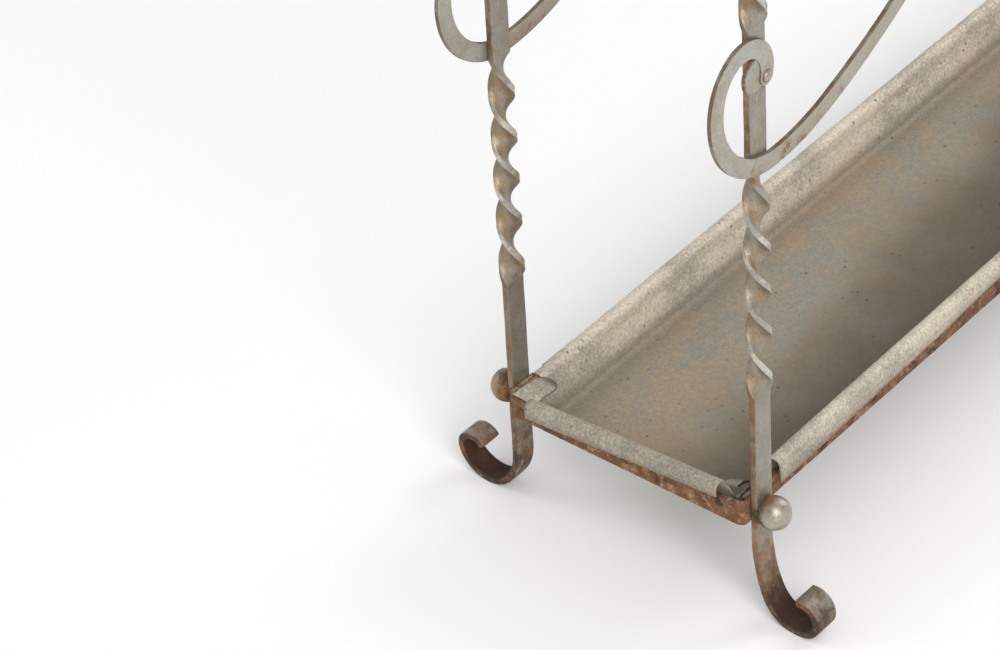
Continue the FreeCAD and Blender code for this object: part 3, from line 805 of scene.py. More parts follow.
# ---- posts ---------------------------------------------------------------------
@dataclass
class Posts:
    """Four posts, each one flat bar: a curled foot, two twisted lengths with a plain
    length between, and a curled top."""

    layout: Layout
    width: float = 16.0 * MM
    thick: float = 5.0 * MM
    worn: float = 1.1 * MM
    lip: float = 0.9 * MM
    hollow: float = 0.55 * MM
    twist_start: float = 92.5 * MM
    twist_length: float = 154.0 * MM
    plain_between: float = 105.0 * MM
    half_turns: int = 5
    foot_flare: float = 1.5 * MM
    rear_flare: float = 0.2 * MM
    curl_start: float = 12.0 * MM
    sole_wear: float = 0.4 * MM
    front_foot: Sequence[tuple[float, float]] = ((120.0 * MM, 21.0), (23.5 * MM, 89.0), (11.5 * MM, 176.0))
    rear_foot: Sequence[tuple[float, float]] = (
        (36.0 * MM, 37.0),
        (20.5 * MM, 53.5),
        (21.0 * MM, 80.5),
        (9.0 * MM, 160.0),
    )
    top_curl: Sequence[tuple[float, float]] = ((60.0 * MM, 20.0), (22.0 * MM, 70.0), (11.0 * MM, 150.0))

    def build(self, finishes: Finishes) -> None:
        """Make and dress the four posts."""
        for number, (side, end) in enumerate(CORNERS):
            where = corner_name(side, end)
            thing = self.bar(side, end, 11 + number).piece(f"post_bar_{where}")
            dress(thing, finishes.post, "stand", "post_steel", f"post_{where}")

    def twist(self, height: Array) -> Array:
        """Angle of the section at a height: it falls evenly by half a turn at a
        time through each twisted length, easing in and out over a few millimetres.

        Args:
            height: above the floor.

        Returns:
            The angle in radians.
        """
        first = self.layout.ball_z + self.twist_start
        second = first + self.twist_length + self.plain_between
        turn = np.zeros_like(height)
        ease = 5.0 * MM
        for start in (first, second):
            t = np.clip((height - start + ease) / (self.twist_length + 2 * ease), 0.0, 1.0)
            lead = ease / self.twist_length
            turn -= math.pi * self.half_turns * (t - lead * np.sin(2.0 * math.pi * t) * 0.5)
        return turn

    def twisted(self, height: Array) -> Array:
        """1 inside the twisted lengths and 0 in the plain ones."""
        first = self.layout.ball_z + self.twist_start
        second = first + self.twist_length + self.plain_between
        inside = np.zeros_like(height)
        for start in (first, second):
            stop = start + self.twist_length
            rising = smooth(height, start - 4 * MM, start + 10 * MM)
            falling = smooth(height, stop + 4 * MM, stop - 10 * MM)
            inside += rising * falling
        return inside

    def line(self, side: Side) -> tuple[Array, Array, Array]:
        """The middle line of one post in its own plane, from the tip of the foot to
        the tip of the top curl: u outwards, v up.

        Args:
            side: front or rear, which have different feet.

        Returns:
            Distance along, points and headings.
        """
        arcs = self.front_foot if side is Side.FRONT else self.rear_foot
        along, down, way = bent_line((0.0, 0.0), -90.0, arcs)
        under = down + np.stack([np.sin(way), -np.cos(way)], axis=1) * self.thick / 2.0
        foot_z = -under[:, 1].min() - self.sole_wear
        straight = self.layout.top_ball_z + self.curl_start - foot_z
        curl = tuple((radius, -turn) for radius, turn in self.top_curl)
        rise, up, climb = bent_line((0.0, foot_z), 90.0, ((0.0, straight),) + curl)
        down[:, 1] += foot_z
        distance = np.concatenate([along[-1] - along[::-1], along[-1] + rise[1:]])
        points = np.concatenate([down[::-1], up[1:]])
        headings = np.concatenate([way[::-1] + math.pi, climb[1:]])
        return distance, points, headings

    def bar(self, side: Side, end: End, seed: int) -> Stock:
        """One post. The worn section rides on the middle line and turns with the
        twist; the forging leaves it slightly uneven and the sole is worn flat.

        Args:
            side: front or rear.
            end: left or right.
            seed: for the unevenness.

        Returns:
            The surface.
        """
        distance, line, headings = self.line(side)
        along = stations(distance[-1], 1.5 * MM, self.lip)
        u, v = (np.interp(along, distance, line[:, i]) for i in (0, 1))
        way = np.interp(along, distance, headings)
        sign = float(side.value)
        middle_y = self.layout.face_y[side] - sign * self.thick / 2.0
        centre = np.stack([np.full_like(u, end.value * self.layout.post_x), middle_y + sign * u, v], axis=1)
        travel = np.stack([np.zeros_like(way), sign * np.cos(way), np.sin(way)], axis=1)
        flat = np.broadcast_to(np.array([1.0, 0.0, 0.0]), travel.shape)
        cross = np.cross(travel, flat)
        straight = (np.abs(u) < 1e-5).astype(float)
        turn = self.twist(v) * straight
        inside = self.twisted(v) * straight
        wide = np.cos(turn)[:, None] * flat + np.sin(turn)[:, None] * cross
        thin = -np.sin(turn)[:, None] * flat + np.cos(turn)[:, None] * cross
        track = Track(along, centre, wide, thin)
        shrink = end_rounding(along, self.lip)
        outline = Outline.worn(4, 9, 3)
        radius = self.worn * (1.0 - 0.15 * inside)
        spread = self.foot_flare if side is Side.FRONT else self.rear_flare
        flare = spread * smooth(along, 105 * MM, 15 * MM)
        half_wide = self.width / 2 - shrink - 0.1 * MM * inside + flare
        half_thin = self.thick / 2 - shrink
        surface, outward, own = sweep(track, outline, half_wide, half_thin, radius, self.hollow * inside)
        surface = surface + outward * (ripple(surface, 16 * MM, seed)[..., None] - 0.8) * 0.15 * MM
        surface[..., 2] = np.maximum(surface[..., 2], 0.0)
        height = np.broadcast_to(v[:, None], surface.shape[:2])
        narrow = smooth(np.abs(outline.nx), 0.35, 0.95)[None] * np.ones_like(height)
        ball_z = self.layout.ball_z
        near_ball = bump_at(height, ball_z, 24 * MM) + 0.5 * bump_at(height, ball_z, 14 * MM)
        foot = smooth(height, 82 * MM, 26 * MM)
        plain_z = ball_z + self.twist_start + self.twist_length + 0.5 * self.plain_between
        middle = bump_at(height, plain_z, 75 * MM)
        outboard = np.broadcast_to(u[:, None], height.shape)
        bent = smooth(outboard, 2 * MM, 14 * MM) * smooth(height, 120 * MM, 100 * MM)
        # Painted shade on the concave side of the foot curl.
        curl_inside_shade = np.clip(outline.ny * sign, 0.0, 1.0)[None] * bent
        # Less rust on the faces near the foot's tip that face up.
        less_rust_facing_up = 0.20 * smooth(outward[..., 2], 0.1, 0.8) * (1.0 - narrow)
        less_rust_facing_up = less_rust_facing_up * smooth(along, 42 * MM, 20 * MM)[:, None]
        # Painted shadow: a dark line along the down-facing corners of the twisted lengths, under the ridges.
        painted_shadow_line = 4.0 * narrow * (1.0 - narrow) * inside[:, None] * smooth(outward[..., 2], 0.1, -0.3)
        plain = 1.0 - inside[:, None]
        # Painted highlight: light lines along the corners of the plain lengths.
        edges = 1.6 * narrow * (1.0 - narrow) * plain * (1.0 - foot)
        rust = 0.02 + 0.50 * foot + 0.34 * near_ball + 0.15 * middle + 0.14 * narrow * plain
        # Some of the painted shade of the curl and of the lines under the ridges also goes into the rust
        # mask.
        rust = rust + 0.2 * curl_inside_shade + 0.3 * painted_shadow_line - less_rust_facing_up
        # The mask of ridges here is painted highlight; the mask of the curls and of the lines under the
        # ridges is painted shade.
        mark = {
            "side": narrow * plain,
            "ridge_sheen_and_wear": narrow * inside[:, None] + edges,
            "valley": (1.0 - narrow) * inside[:, None] * smooth(outward[..., 2], 0.30, -0.25),
            "rust": np.clip(rust, 0, 1),
            "shade_and_grime": np.clip(curl_inside_shade + 0.8 * painted_shadow_line, 0, 1),
        }
        stock = Stock()
        stock.grid(surface, own, mark)
        return stock


# ---- scrolls -------------------------------------------------------------------
@dataclass
class Scrolls:
    """Four flat scrolls on the outer faces of the posts. Each is one band bent on
    edge: a loop riveted to the post over a small disc, and a run that climbs to the
    collar and ends in a smaller loop."""

    layout: Layout
    width: float = 12.0 * MM
    thick: float = 3.2 * MM
    worn: float = 0.6 * MM
    bottom: tuple[float, float] = (12.0 * MM, 253.5 * MM)
    loop: Sequence[tuple[float, float]] = (
        (53.0 * MM, 90.0),
        (40.0 * MM, 28.0),
        (27.0 * MM, 37.0),
        (20.5 * MM, 130.0),
    )
    rise: Sequence[tuple[float, float]] = ((146.0 * MM, 17.5), (410.0 * MM, 12.0))
    turn_up: float = 170.0 * MM
    crest: Sequence[tuple[float, float]] = ((30.0 * MM, 100.0), (19.0 * MM, 170.0))
    twin_gap: float = 0.3 * MM
    penny: float = 11.5 * MM
    penny_thick: float = 2.2 * MM
    penny_back: float = 8.6 * MM
    penny_rise: float = 4.3 * MM
    head: float = 4.2 * MM
    dome: float = 2.2 * MM
    collar_height: float = 22.0 * MM
    collar_wall: float = 2.0 * MM
    standoff: float = 6.0 * MM
    post_thick: float = 5.0 * MM

    def steps_up(self) -> tuple[tuple[float, float], ...]:
        """The bends of the run from the lowest point, the straight lengths being
        what is left between the bends, the collar and the upper loop."""
        _, points, headings = bent_line(self.bottom, 0.0, self.rise)
        way = headings[-1]
        end_u = self.layout.post_x - self.width / 2.0 - self.twin_gap / 2.0
        straight = (end_u - self.turn_up * (1.0 - math.sin(way)) - points[-1, 0]) / math.cos(way)
        top_v = self.layout.top_ball_z - self.layout.ball_z - self.crest[0][0]
        upright = top_v - (points[-1, 1] + straight * math.sin(way) + self.turn_up * math.cos(way))
        rest = ((0.0, straight), (self.turn_up, 90.0 - math.degrees(way)), (0.0, upright))
        return tuple(self.rise) + rest + tuple(self.crest)

    def line(self) -> tuple[Array, Array, Array]:
        """The middle line from the riveted end of the loop to the tip of the upper
        loop: u inboard of the post, v above the lower ball.

        Returns:
            Distance along, points and headings.
        """
        back, points, way = bent_line(self.bottom, 180.0, tuple((r, -a) for r, a in self.loop))
        fore, up, climb = bent_line(self.bottom, 0.0, self.steps_up())
        distance = np.concatenate([back[-1] - back[::-1], back[-1] + fore[1:]])
        line = np.concatenate([points[::-1], up[1:]])
        return distance, line, np.concatenate([way[::-1] - math.pi, climb[1:]])

    def build(self, finishes: Finishes) -> None:
        """Make and dress the scrolls, their collars, stand-offs and rivets."""
        rivets, crests, spacers, collars = Stock(), Stock(), Stock(), Stock()
        for number, (side, end) in enumerate(CORNERS):
            where = corner_name(side, end)
            thing = self.band(side, end, 31 + number).piece(f"scroll_band_{where}")
            dress(thing, finishes.scroll, "stand", "scroll_steel", f"scroll_{where}")
            _, points, _ = self.line()
            x = end.value * (self.layout.post_x - points[0, 0])
            z = self.layout.ball_z + points[0, 1]
            outer = self.layout.face_y[side] + side.value * self.thick
            inner = self.layout.face_y[side] - side.value * self.post_thick
            add_rivet(rivets, Vector((x, outer, z)), Vector((x, inner, z)), self.head, self.dome, 51 + number)
            top_x = end.value * (self.width / 2.0 + self.twin_gap / 2.0 + self.crest[0][0])
            rail_out, rail_in = rail_faces(side)
            top = self.layout.top_ball_z
            head_out, head_in = Vector((top_x, outer, top)), Vector((top_x, rail_in, top))
            add_rivet(crests, head_out, head_in, self.head, self.dome, 61 + number)
            foot = Vector((top_x, rail_out, top))
            tip = Vector((top_x, self.layout.face_y[side], top))
            self.stand_off(spacers, foot, tip, 71 + number)
        for number, side in enumerate(Side):
            self.collar(collars, side, 81 + number)
        fittings = (
            (rivets, "scroll_rivet_heads", finishes.rivet, "rivet_steel", "scroll_post_rivets"),
            (crests, "scroll_crest_rivets", finishes.rivet, "rivet_steel", "scroll_top_rivets"),
            (spacers, "scroll_stand_offs", finishes.post, "post_steel", "scroll_spacers"),
            (collars, "clenched_collars", finishes.scroll, "scroll_steel", "scroll_collars"),
        )
        for stock, name, material, slot, node in fittings:
            dress(stock.piece(name), material, "stand", slot, node)

    def band(self, side: Side, end: End, seed: int) -> Stock:
        """One scroll and its disc. The band keeps its thickness while its half
        width closes as a half circle at both ends, the root of (2hd - d^2) for a
        distance d from the tip and a half width h.

        Args:
            side: front or rear.
            end: left or right.
            seed: for the unevenness.

        Returns:
            The surface.
        """
        distance, line, headings = self.line()
        half = self.width / 2.0
        tip = half * (1.0 - np.cos(np.linspace(0.06, math.pi / 2.0, 12)))
        body = np.linspace(half, distance[-1] - half, int(distance[-1] / (2.2 * MM)))
        along = np.concatenate([tip[:-1], body, distance[-1] - tip[::-1][1:]])
        reach = np.clip(np.minimum(along, distance[-1] - along), 0.0, half)
        closing = np.sqrt(np.maximum(2.0 * half * reach - reach**2, 0.0))
        # the two round ends reach half a width past the ends of the line
        lead = along * (distance[-1] + 2.0 * half) / distance[-1] - half
        u, v = (np.interp(lead, distance, line[:, i]) for i in (0, 1))
        way = np.interp(lead, distance, headings)
        over = np.maximum(lead - distance[-1], 0.0) + np.minimum(lead, 0.0)
        u, v = u + over * np.cos(way), v + over * np.sin(way)
        edge_u = np.where(np.minimum(along, distance[-1] - along) < half, closing, half)
        sy, sx = float(side.value), float(end.value)
        middle_y = np.full_like(u, self.layout.face_y[side] + sy * self.thick / 2)
        centre = np.stack([sx * (self.layout.post_x - u), middle_y, self.layout.ball_z + v], axis=1)
        travel = np.stack([-sx * np.cos(way), np.zeros_like(way), np.sin(way)], axis=1)
        thin = np.broadcast_to(np.array([0.0, sy, 0.0]), travel.shape)
        wide = np.cross(thin, travel)
        outline = Outline.worn(3, 8, 3)
        swell = 1.0 + 0.03 * ripple(centre, 120 * MM, seed)
        track = Track(along, centre, wide, thin)
        half_wide = edge_u * np.minimum(swell, 1.0)
        surface, outward, own = sweep(track, outline, half_wide, self.thick / 2, self.worn)
        surface = surface + outward * (ripple(surface, 22 * MM, seed + 1)[..., None] - 0.6) * 0.12 * MM
        narrow = smooth(np.abs(outline.nx), 0.5, 0.98)[None] * np.ones(surface.shape[:2])
        height = surface[..., 2] - self.layout.ball_z
        rust = 0.10 + 0.10 * narrow + 0.18 * bump_at(height, 250 * MM, 14 * MM)
        stock = Stock()
        # Painted highlight along the corners of the band, through the mask of ridges.
        stock.grid(surface, own, {"side": narrow, "rust": rust, "ridge_sheen_and_wear": 2.4 * narrow * (1.0 - narrow)})
        self.disc(stock, sx, sy, line[0], seed)
        return stock

    def disc(self, stock: Stock, sx: float, sy: float, at: Array, seed: int) -> None:
        """Add the small disc under the riveted end: a turned plate with a round
        lip and a very slight dome."""
        x = sx * (self.layout.post_x - at[0] + self.penny_back)
        z = self.layout.ball_z + at[1] + self.penny_rise
        y = self.layout.face_y[Side(int(sy))]
        lip = 0.7 * MM
        turn = np.linspace(-math.pi / 2, math.pi / 2, 9)
        body = self.penny - lip + lip * np.cos(turn)
        level = self.penny_thick / 2 + (self.penny_thick / 2 - lip) * np.sign(turn) + lip * np.sin(turn)
        inward = np.linspace(0.9, 0.12, 8) * (self.penny - lip)
        radii = np.concatenate([[0.3 * MM], body, inward])
        heights = np.concatenate([[0.0], level, np.full(8, self.penny_thick)])
        surface, out = turned(radii, heights, Vector((x, y, z)), Vector((0.0, sy, 0.0)), 56)
        surface = surface + out * ripple(surface, 9 * MM, seed + 5)[..., None] * 0.2 * MM
        rust = 0.16 + 0.3 * smooth(radii, self.penny * 0.8, self.penny)[:, None] * np.ones(surface.shape[:2])
        edge = smooth(radii, self.penny * 0.9, self.penny)[:, None]
        stock.grid(surface, None, {"rust": rust, "side": edge})

    def stand_off(self, stock: Stock, foot: Vector, tip: Vector, seed: int) -> None:
        """Add a short turned post between a top rail and a scroll."""
        length = (tip - foot).length
        lip = 0.6 * MM
        turn = np.linspace(0.0, math.pi / 2, 6)
        hub = [0.5 * MM]
        rising, falling = lip * np.sin(turn), lip * np.cos(turn)
        radii = np.concatenate([hub, self.standoff - lip + rising, self.standoff - lip + falling, hub])
        heights = np.concatenate([[0.0], lip - falling, length - lip + rising, [length]])
        surface, out = turned(radii, heights, foot, tip - foot)
        surface = surface + out * (ripple(surface, 8 * MM, seed)[..., None] - 1.0) * 0.1 * MM
        stock.grid(surface, None, {"rust": np.full(surface.shape[:2], 0.15)})

    def collar(self, stock: Stock, side: Side, seed: int) -> None:
        """Add one collar: a flat band carried once round the two scrolls, its path
        a rectangle with round corners."""
        low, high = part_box("scroll_collars")
        inner_half = high.x - self.collar_wall / 2.0
        sign = float(side.value)
        middle = self.layout.face_y[side] + sign * self.thick / 2.0
        deep = self.thick / 2.0 + 0.15 * MM + self.collar_wall / 2.0
        bend = 1.6 * MM
        flat, short = 2.0 * (inner_half - bend), 2.0 * (deep - bend)
        half_way = ((0.0, flat), (bend, 90.0), (0.0, short), (bend, 90.0))
        distance, line, headings = bent_line((bend - inner_half, -deep), 0.0, half_way * 2)
        along = np.linspace(0.0, distance[-1], 120, endpoint=False)
        x, y = (np.interp(along, distance, line[:, i]) for i in (0, 1))
        way = np.interp(along, distance, headings)
        centre = np.stack([x, middle + y, np.full_like(x, (low.z + high.z) / 2.0)], axis=1)
        travel = np.stack([np.cos(way), np.sin(way), np.zeros_like(way)], axis=1)
        wide = np.broadcast_to(np.array([0.0, 0.0, 1.0]), travel.shape)
        thin = np.cross(travel, wide)
        outline = Outline.worn(3, 8, 2)
        track = Track(along, centre, wide, thin)
        half_wide = self.collar_height / 2 - 0.2 * MM
        surface, outward, own = sweep(track, outline, half_wide, self.collar_wall / 2, 0.5 * MM)
        surface = surface + outward * (ripple(surface, 12 * MM, seed)[..., None] - 1.0) * 0.1 * MM
        narrow = smooth(np.abs(outline.nx), 0.5, 0.98)[None] * np.ones(surface.shape[:2])
        stock.grid(surface, own, {"side": narrow, "rust": 0.12 + 0.1 * narrow}, loop=True, caps=False)


def add_rivet(stock: Stock, outer: Vector, inner: Vector, head: float, dome: float, seed: int) -> None:
    """Add a rivet with a hammered dome on both faces: on each, a ball cap whose
    radius is (head^2 + dome^2) / (2 dome), with a small flat top.

    Args:
        stock: where to add it.
        outer: foot of the outer head.
        inner: foot of the inner head.
        head: radius of the heads.
        dome: their height.
        seed: for the unevenness.
    """
    for number, (foot, axis) in enumerate(((outer, outer - inner), (inner, inner - outer))):
        ball = (head**2 + dome**2) / (2.0 * dome)
        reach = math.asin(min(1.0, head / ball))
        angle = np.linspace(reach, 0.08, 14)
        radii = np.concatenate([[head * 0.2, head * 0.97], ball * np.sin(angle)])
        heights = np.concatenate([[-0.3 * MM, -0.3 * MM], ball * np.cos(angle) - (ball - dome)])
        surface, out = turned(radii, heights, foot, axis, 32)
        surface = surface + out * ripple(surface, 4 * MM, seed + 7 * number)[..., None] * 0.16 * MM
        rim = smooth(radii, head * 0.75, head)[:, None] * np.ones(surface.shape[:2])
        # Painted highlight on the top of each dome, through the mask of ridges.
        stock.grid(surface, None, {"side": rim, "rust": 0.06 + 0.5 * rim, "ridge_sheen_and_wear": 0.3 * (1.0 - rim)})


# ---- rails ---------------------------------------------------------------------
@dataclass
class Rails:
    """Flat rails on edge: straight ones along the front and rear, ones bent round
    behind the posts at the ends, the grid bars, and the rivets that hold them."""

    layout: Layout
    worn: float = 0.7 * MM
    lip: float = 0.6 * MM
    bend: float = 2.9 * MM
    thick: float = 3.2 * MM
    tab: float = 18.0 * MM

    def build(self, finishes: Finishes) -> None:
        """Make and dress the rails of the tray frame and of the top frame."""
        levels = (
            ("tray", "lower", finishes.rail, "rail_rust"),
            ("top", "upper", finishes.post, "post_steel"),
        )
        for level, (cad, name, material, slot) in enumerate(levels):
            for number, side in enumerate(Side):
                node = f"{cad}_rail_{side.name.lower()}"
                stock = self.straight(node, 101 + 10 * level + number)
                thing = stock.piece(f"{name}_rail_{side.name.lower()}")
                dress(thing, material, "stand", slot, node)
            for number, end in enumerate(End):
                node = f"{cad}_rail_{end.name.lower()}"
                stock = self.bent(node, end, 105 + 10 * level + number)
                thing = stock.piece(f"{name}_rail_{end.name.lower()}")
                dress(thing, material, "stand", slot, node)
        for number in range(1, 5):
            node = f"divider_{number}"
            thing = self.grid_bar(node, 120 + number).piece(f"grid_bar_{number}")
            dress(thing, finishes.post, "stand", "post_steel", node)

    def lay(self, line: Array, headings: Array, distance: Array, low: float, high: float, seed: int) -> Stock:
        """Carry the rail's upright section along a line seen from above.

        Args:
            line: points (x, y).
            headings: directions in radians.
            distance: along the line.
            low: bottom edge.
            high: top edge.
            seed: for the unevenness.

        Returns:
            The surface.
        """
        along = stations(distance[-1], 2.6 * MM, self.lip)
        x, y = (np.interp(along, distance, line[:, i]) for i in (0, 1))
        way = np.interp(along, distance, headings)
        centre = np.stack([x, y, np.full_like(x, (low + high) / 2.0)], axis=1)
        travel = np.stack([np.cos(way), np.sin(way), np.zeros_like(way)], axis=1)
        wide = np.broadcast_to(np.array([0.0, 0.0, 1.0]), travel.shape)
        thin = np.cross(travel, wide)
        outline = Outline.worn(3, 8, 2)
        shrink = end_rounding(along, self.lip)
        track = Track(along, centre, wide, thin)
        half_wide = (high - low) / 2 - shrink
        surface, outward, own = sweep(track, outline, half_wide, self.thick / 2 - shrink, self.worn)
        surface = surface + outward * (ripple(surface, 18 * MM, seed)[..., None] - 1.0) * 0.12 * MM
        narrow = smooth(np.abs(outline.nx), 0.5, 0.98)[None] * np.ones(surface.shape[:2])
        stock = Stock()
        # The narrow faces take the mask of ridges: the bar finish lightens them as a painted highlight, the
        # rust finish shows a few more bare spots there.
        stock.grid(surface, own, {"side": narrow, "rust": np.full(surface.shape[:2], 0.14), "ridge_sheen_and_wear": narrow})
        return stock

    def straight(self, node: str, seed: int) -> Stock:
        """A straight rail that fills its solid's box."""
        low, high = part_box(node)
        y = (low.y + high.y) / 2.0
        distance, line, headings = bent_line((low.x, y), 0.0, ((0.0, high.x - low.x),))
        return self.lay(line, headings, distance, low.z, high.z, seed)

    def bent(self, node: str, end: End, seed: int) -> Stock:
        """A rail across one end, a quarter bend at each corner and a tab behind
        each post."""
        low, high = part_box(node)
        half = self.thick / 2.0
        tab = (high.x - low.x) - half - self.bend
        across = (high.y - low.y) - 2.0 * (half + self.bend)
        if end is End.LEFT:
            start, heading, turn = (high.x, high.y - half), 180.0, 90.0
        else:
            start, heading, turn = (low.x, high.y - half), 0.0, -90.0
        steps = ((0.0, tab), (self.bend, turn), (0.0, across), (self.bend, turn), (0.0, tab))
        distance, line, headings = bent_line(start, heading, steps)
        return self.lay(line, headings, distance, low.z, high.z, seed)

    def grid_bar(self, node: str, seed: int) -> Stock:
        """A bar across the top frame with a riveted tab at each end."""
        low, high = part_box(node)
        half = self.thick / 2.0
        bend = self.thick
        tab = self.tab - half - bend
        across = (high.y - low.y) - 2.0 * (half + bend)
        steps = ((0.0, tab), (bend, 90.0), (0.0, across), (bend, 90.0), (0.0, tab))
        distance, line, headings = bent_line((high.x, high.y - half), 180.0, steps)
        return self.lay(line, headings, distance, low.z, high.z, seed)


@dataclass
class Fastenings:
    """Ball-headed rivets at the corners, the washers they are closed over, and the
    small rivets of the grid bars."""

    layout: Layout
    ball: float = 10.5 * MM
    standoff: float = 7.0 * MM
    washer: float = 5.5 * MM
    washer_thick: float = 1.6 * MM
    head: float = 4.0 * MM
    dome: float = 1.8 * MM
    tab: float = 18.0 * MM
    rail: float = 3.2 * MM

    def build(self, finishes: Finishes) -> None:
        """Make and dress the fastenings of both levels."""
        for level, z in (("lower", self.layout.ball_z), ("upper", self.layout.top_ball_z)):
            balls, washers = Stock(), Stock()
            for number, (side, end) in enumerate(CORNERS):
                x = end.value * self.layout.post_x
                self.ball_head(balls, x, side, z, 141 + number + 10 * (level == "upper"))
                self.washer_head(washers, x, side, self.rail_face(level, side), z, 161 + number)
            heads = balls.piece(f"ball_heads_{level}")
            dress(heads, finishes.ball, "stand", "ball_steel", f"{level}_ball_rivets")
            closed = washers.piece(f"closed_washers_{level}")
            dress(closed, finishes.rail, "stand", "rail_rust", f"{level}_rivet_washers")
        pins = Stock()
        for number in range(1, 5):
            low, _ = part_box(f"divider_{number}")
            for side in Side:
                outer, rail_in = rail_faces(side)
                inner = rail_in - side.value * self.rail
                x, z = low.x + (self.rail * 1.5 + self.tab) / 2.0, self.layout.top_ball_z
                head_out, head_in = Vector((x, outer, z)), Vector((x, inner, z))
                add_rivet(pins, head_out, head_in, self.head, self.dome, 181 + number)
        dress(pins.piece("grid_rivets"), finishes.post, "stand", "post_steel", "divider_rivets")

    def rail_face(self, level: str, side: Side) -> float:
        """Inner face of a long rail, where a washer sits."""
        low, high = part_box(f"{'tray' if level == 'lower' else 'top'}_rail_{side.name.lower()}")
        return high.y if side is Side.FRONT else low.y

    def ball_head(self, stock: Stock, x: float, side: Side, z: float, seed: int) -> None:
        """Add a ball head: a turned ball cut off where it meets the post, with a
        few hammer flats."""
        foot = Vector((x, self.layout.face_y[side], z))
        start = math.acos(self.standoff / self.ball)
        angle = np.linspace(start, math.pi - 0.03, 44)
        radii = np.concatenate([[0.5 * MM], self.ball * np.sin(angle)])
        heights = np.concatenate([[0.0], self.standoff - self.ball * np.cos(angle)])
        surface, _ = turned(radii, heights, foot, Vector((0.0, side.value, 0.0)), 64)
        centre = np.array(foot) + np.array([0.0, side.value * self.standoff, 0.0])
        away = surface - centre
        away /= np.linalg.norm(away, axis=-1, keepdims=True)
        surface = surface + away * (ripple(surface, 15 * MM, seed)[..., None] + 0.35) * 0.5 * MM
        surface = surface + away * ripple(surface, 5 * MM, seed + 50)[..., None] * 0.09 * MM
        base = smooth(heights, 10.5 * MM, 2.0 * MM)[:, None] * np.ones(surface.shape[:2])
        # Rust colour at the base and on the underside, so the ball is browner and darker below.
        under = smooth(away[..., 2], 0.0, -0.85)
        old = 0.30 if side is Side.REAR else 0.0
        rust = np.clip(old + 0.50 * base + 0.36 * under, 0, 1)
        stock.grid(surface, None, {"rust": rust, "side": np.clip(base + old, 0, 1)})

    def washer_head(self, stock: Stock, x: float, side: Side, y: float, z: float, seed: int) -> None:
        """Add a washer with the peened end of the shank over it."""
        turn = np.linspace(0.0, math.pi / 2, 6)
        lip = 0.5 * MM
        rounding = self.washer - lip + lip * np.cos(turn)
        shank = [3.4 * MM, 2.6 * MM, 1.4 * MM, 0.3 * MM]
        radii = np.concatenate([[0.4 * MM], [self.washer], rounding, shank])
        top = self.washer_thick
        rising = top - lip + lip * np.sin(turn) - 0.02 * MM
        peened = [top - 0.15 * MM, top - 0.02 * MM, top - 0.01 * MM, top]
        heights = np.concatenate([[0.0, 0.0], rising, peened])
        surface, out = turned(radii, heights, Vector((x, y, z)), Vector((0.0, -side.value, 0.0)), 40)
        surface = surface + out * (ripple(surface, 5 * MM, seed)[..., None] - 1.0) * 0.12 * MM
        stock.grid(surface, None, {"rust": np.full(surface.shape[:2], 0.5)})


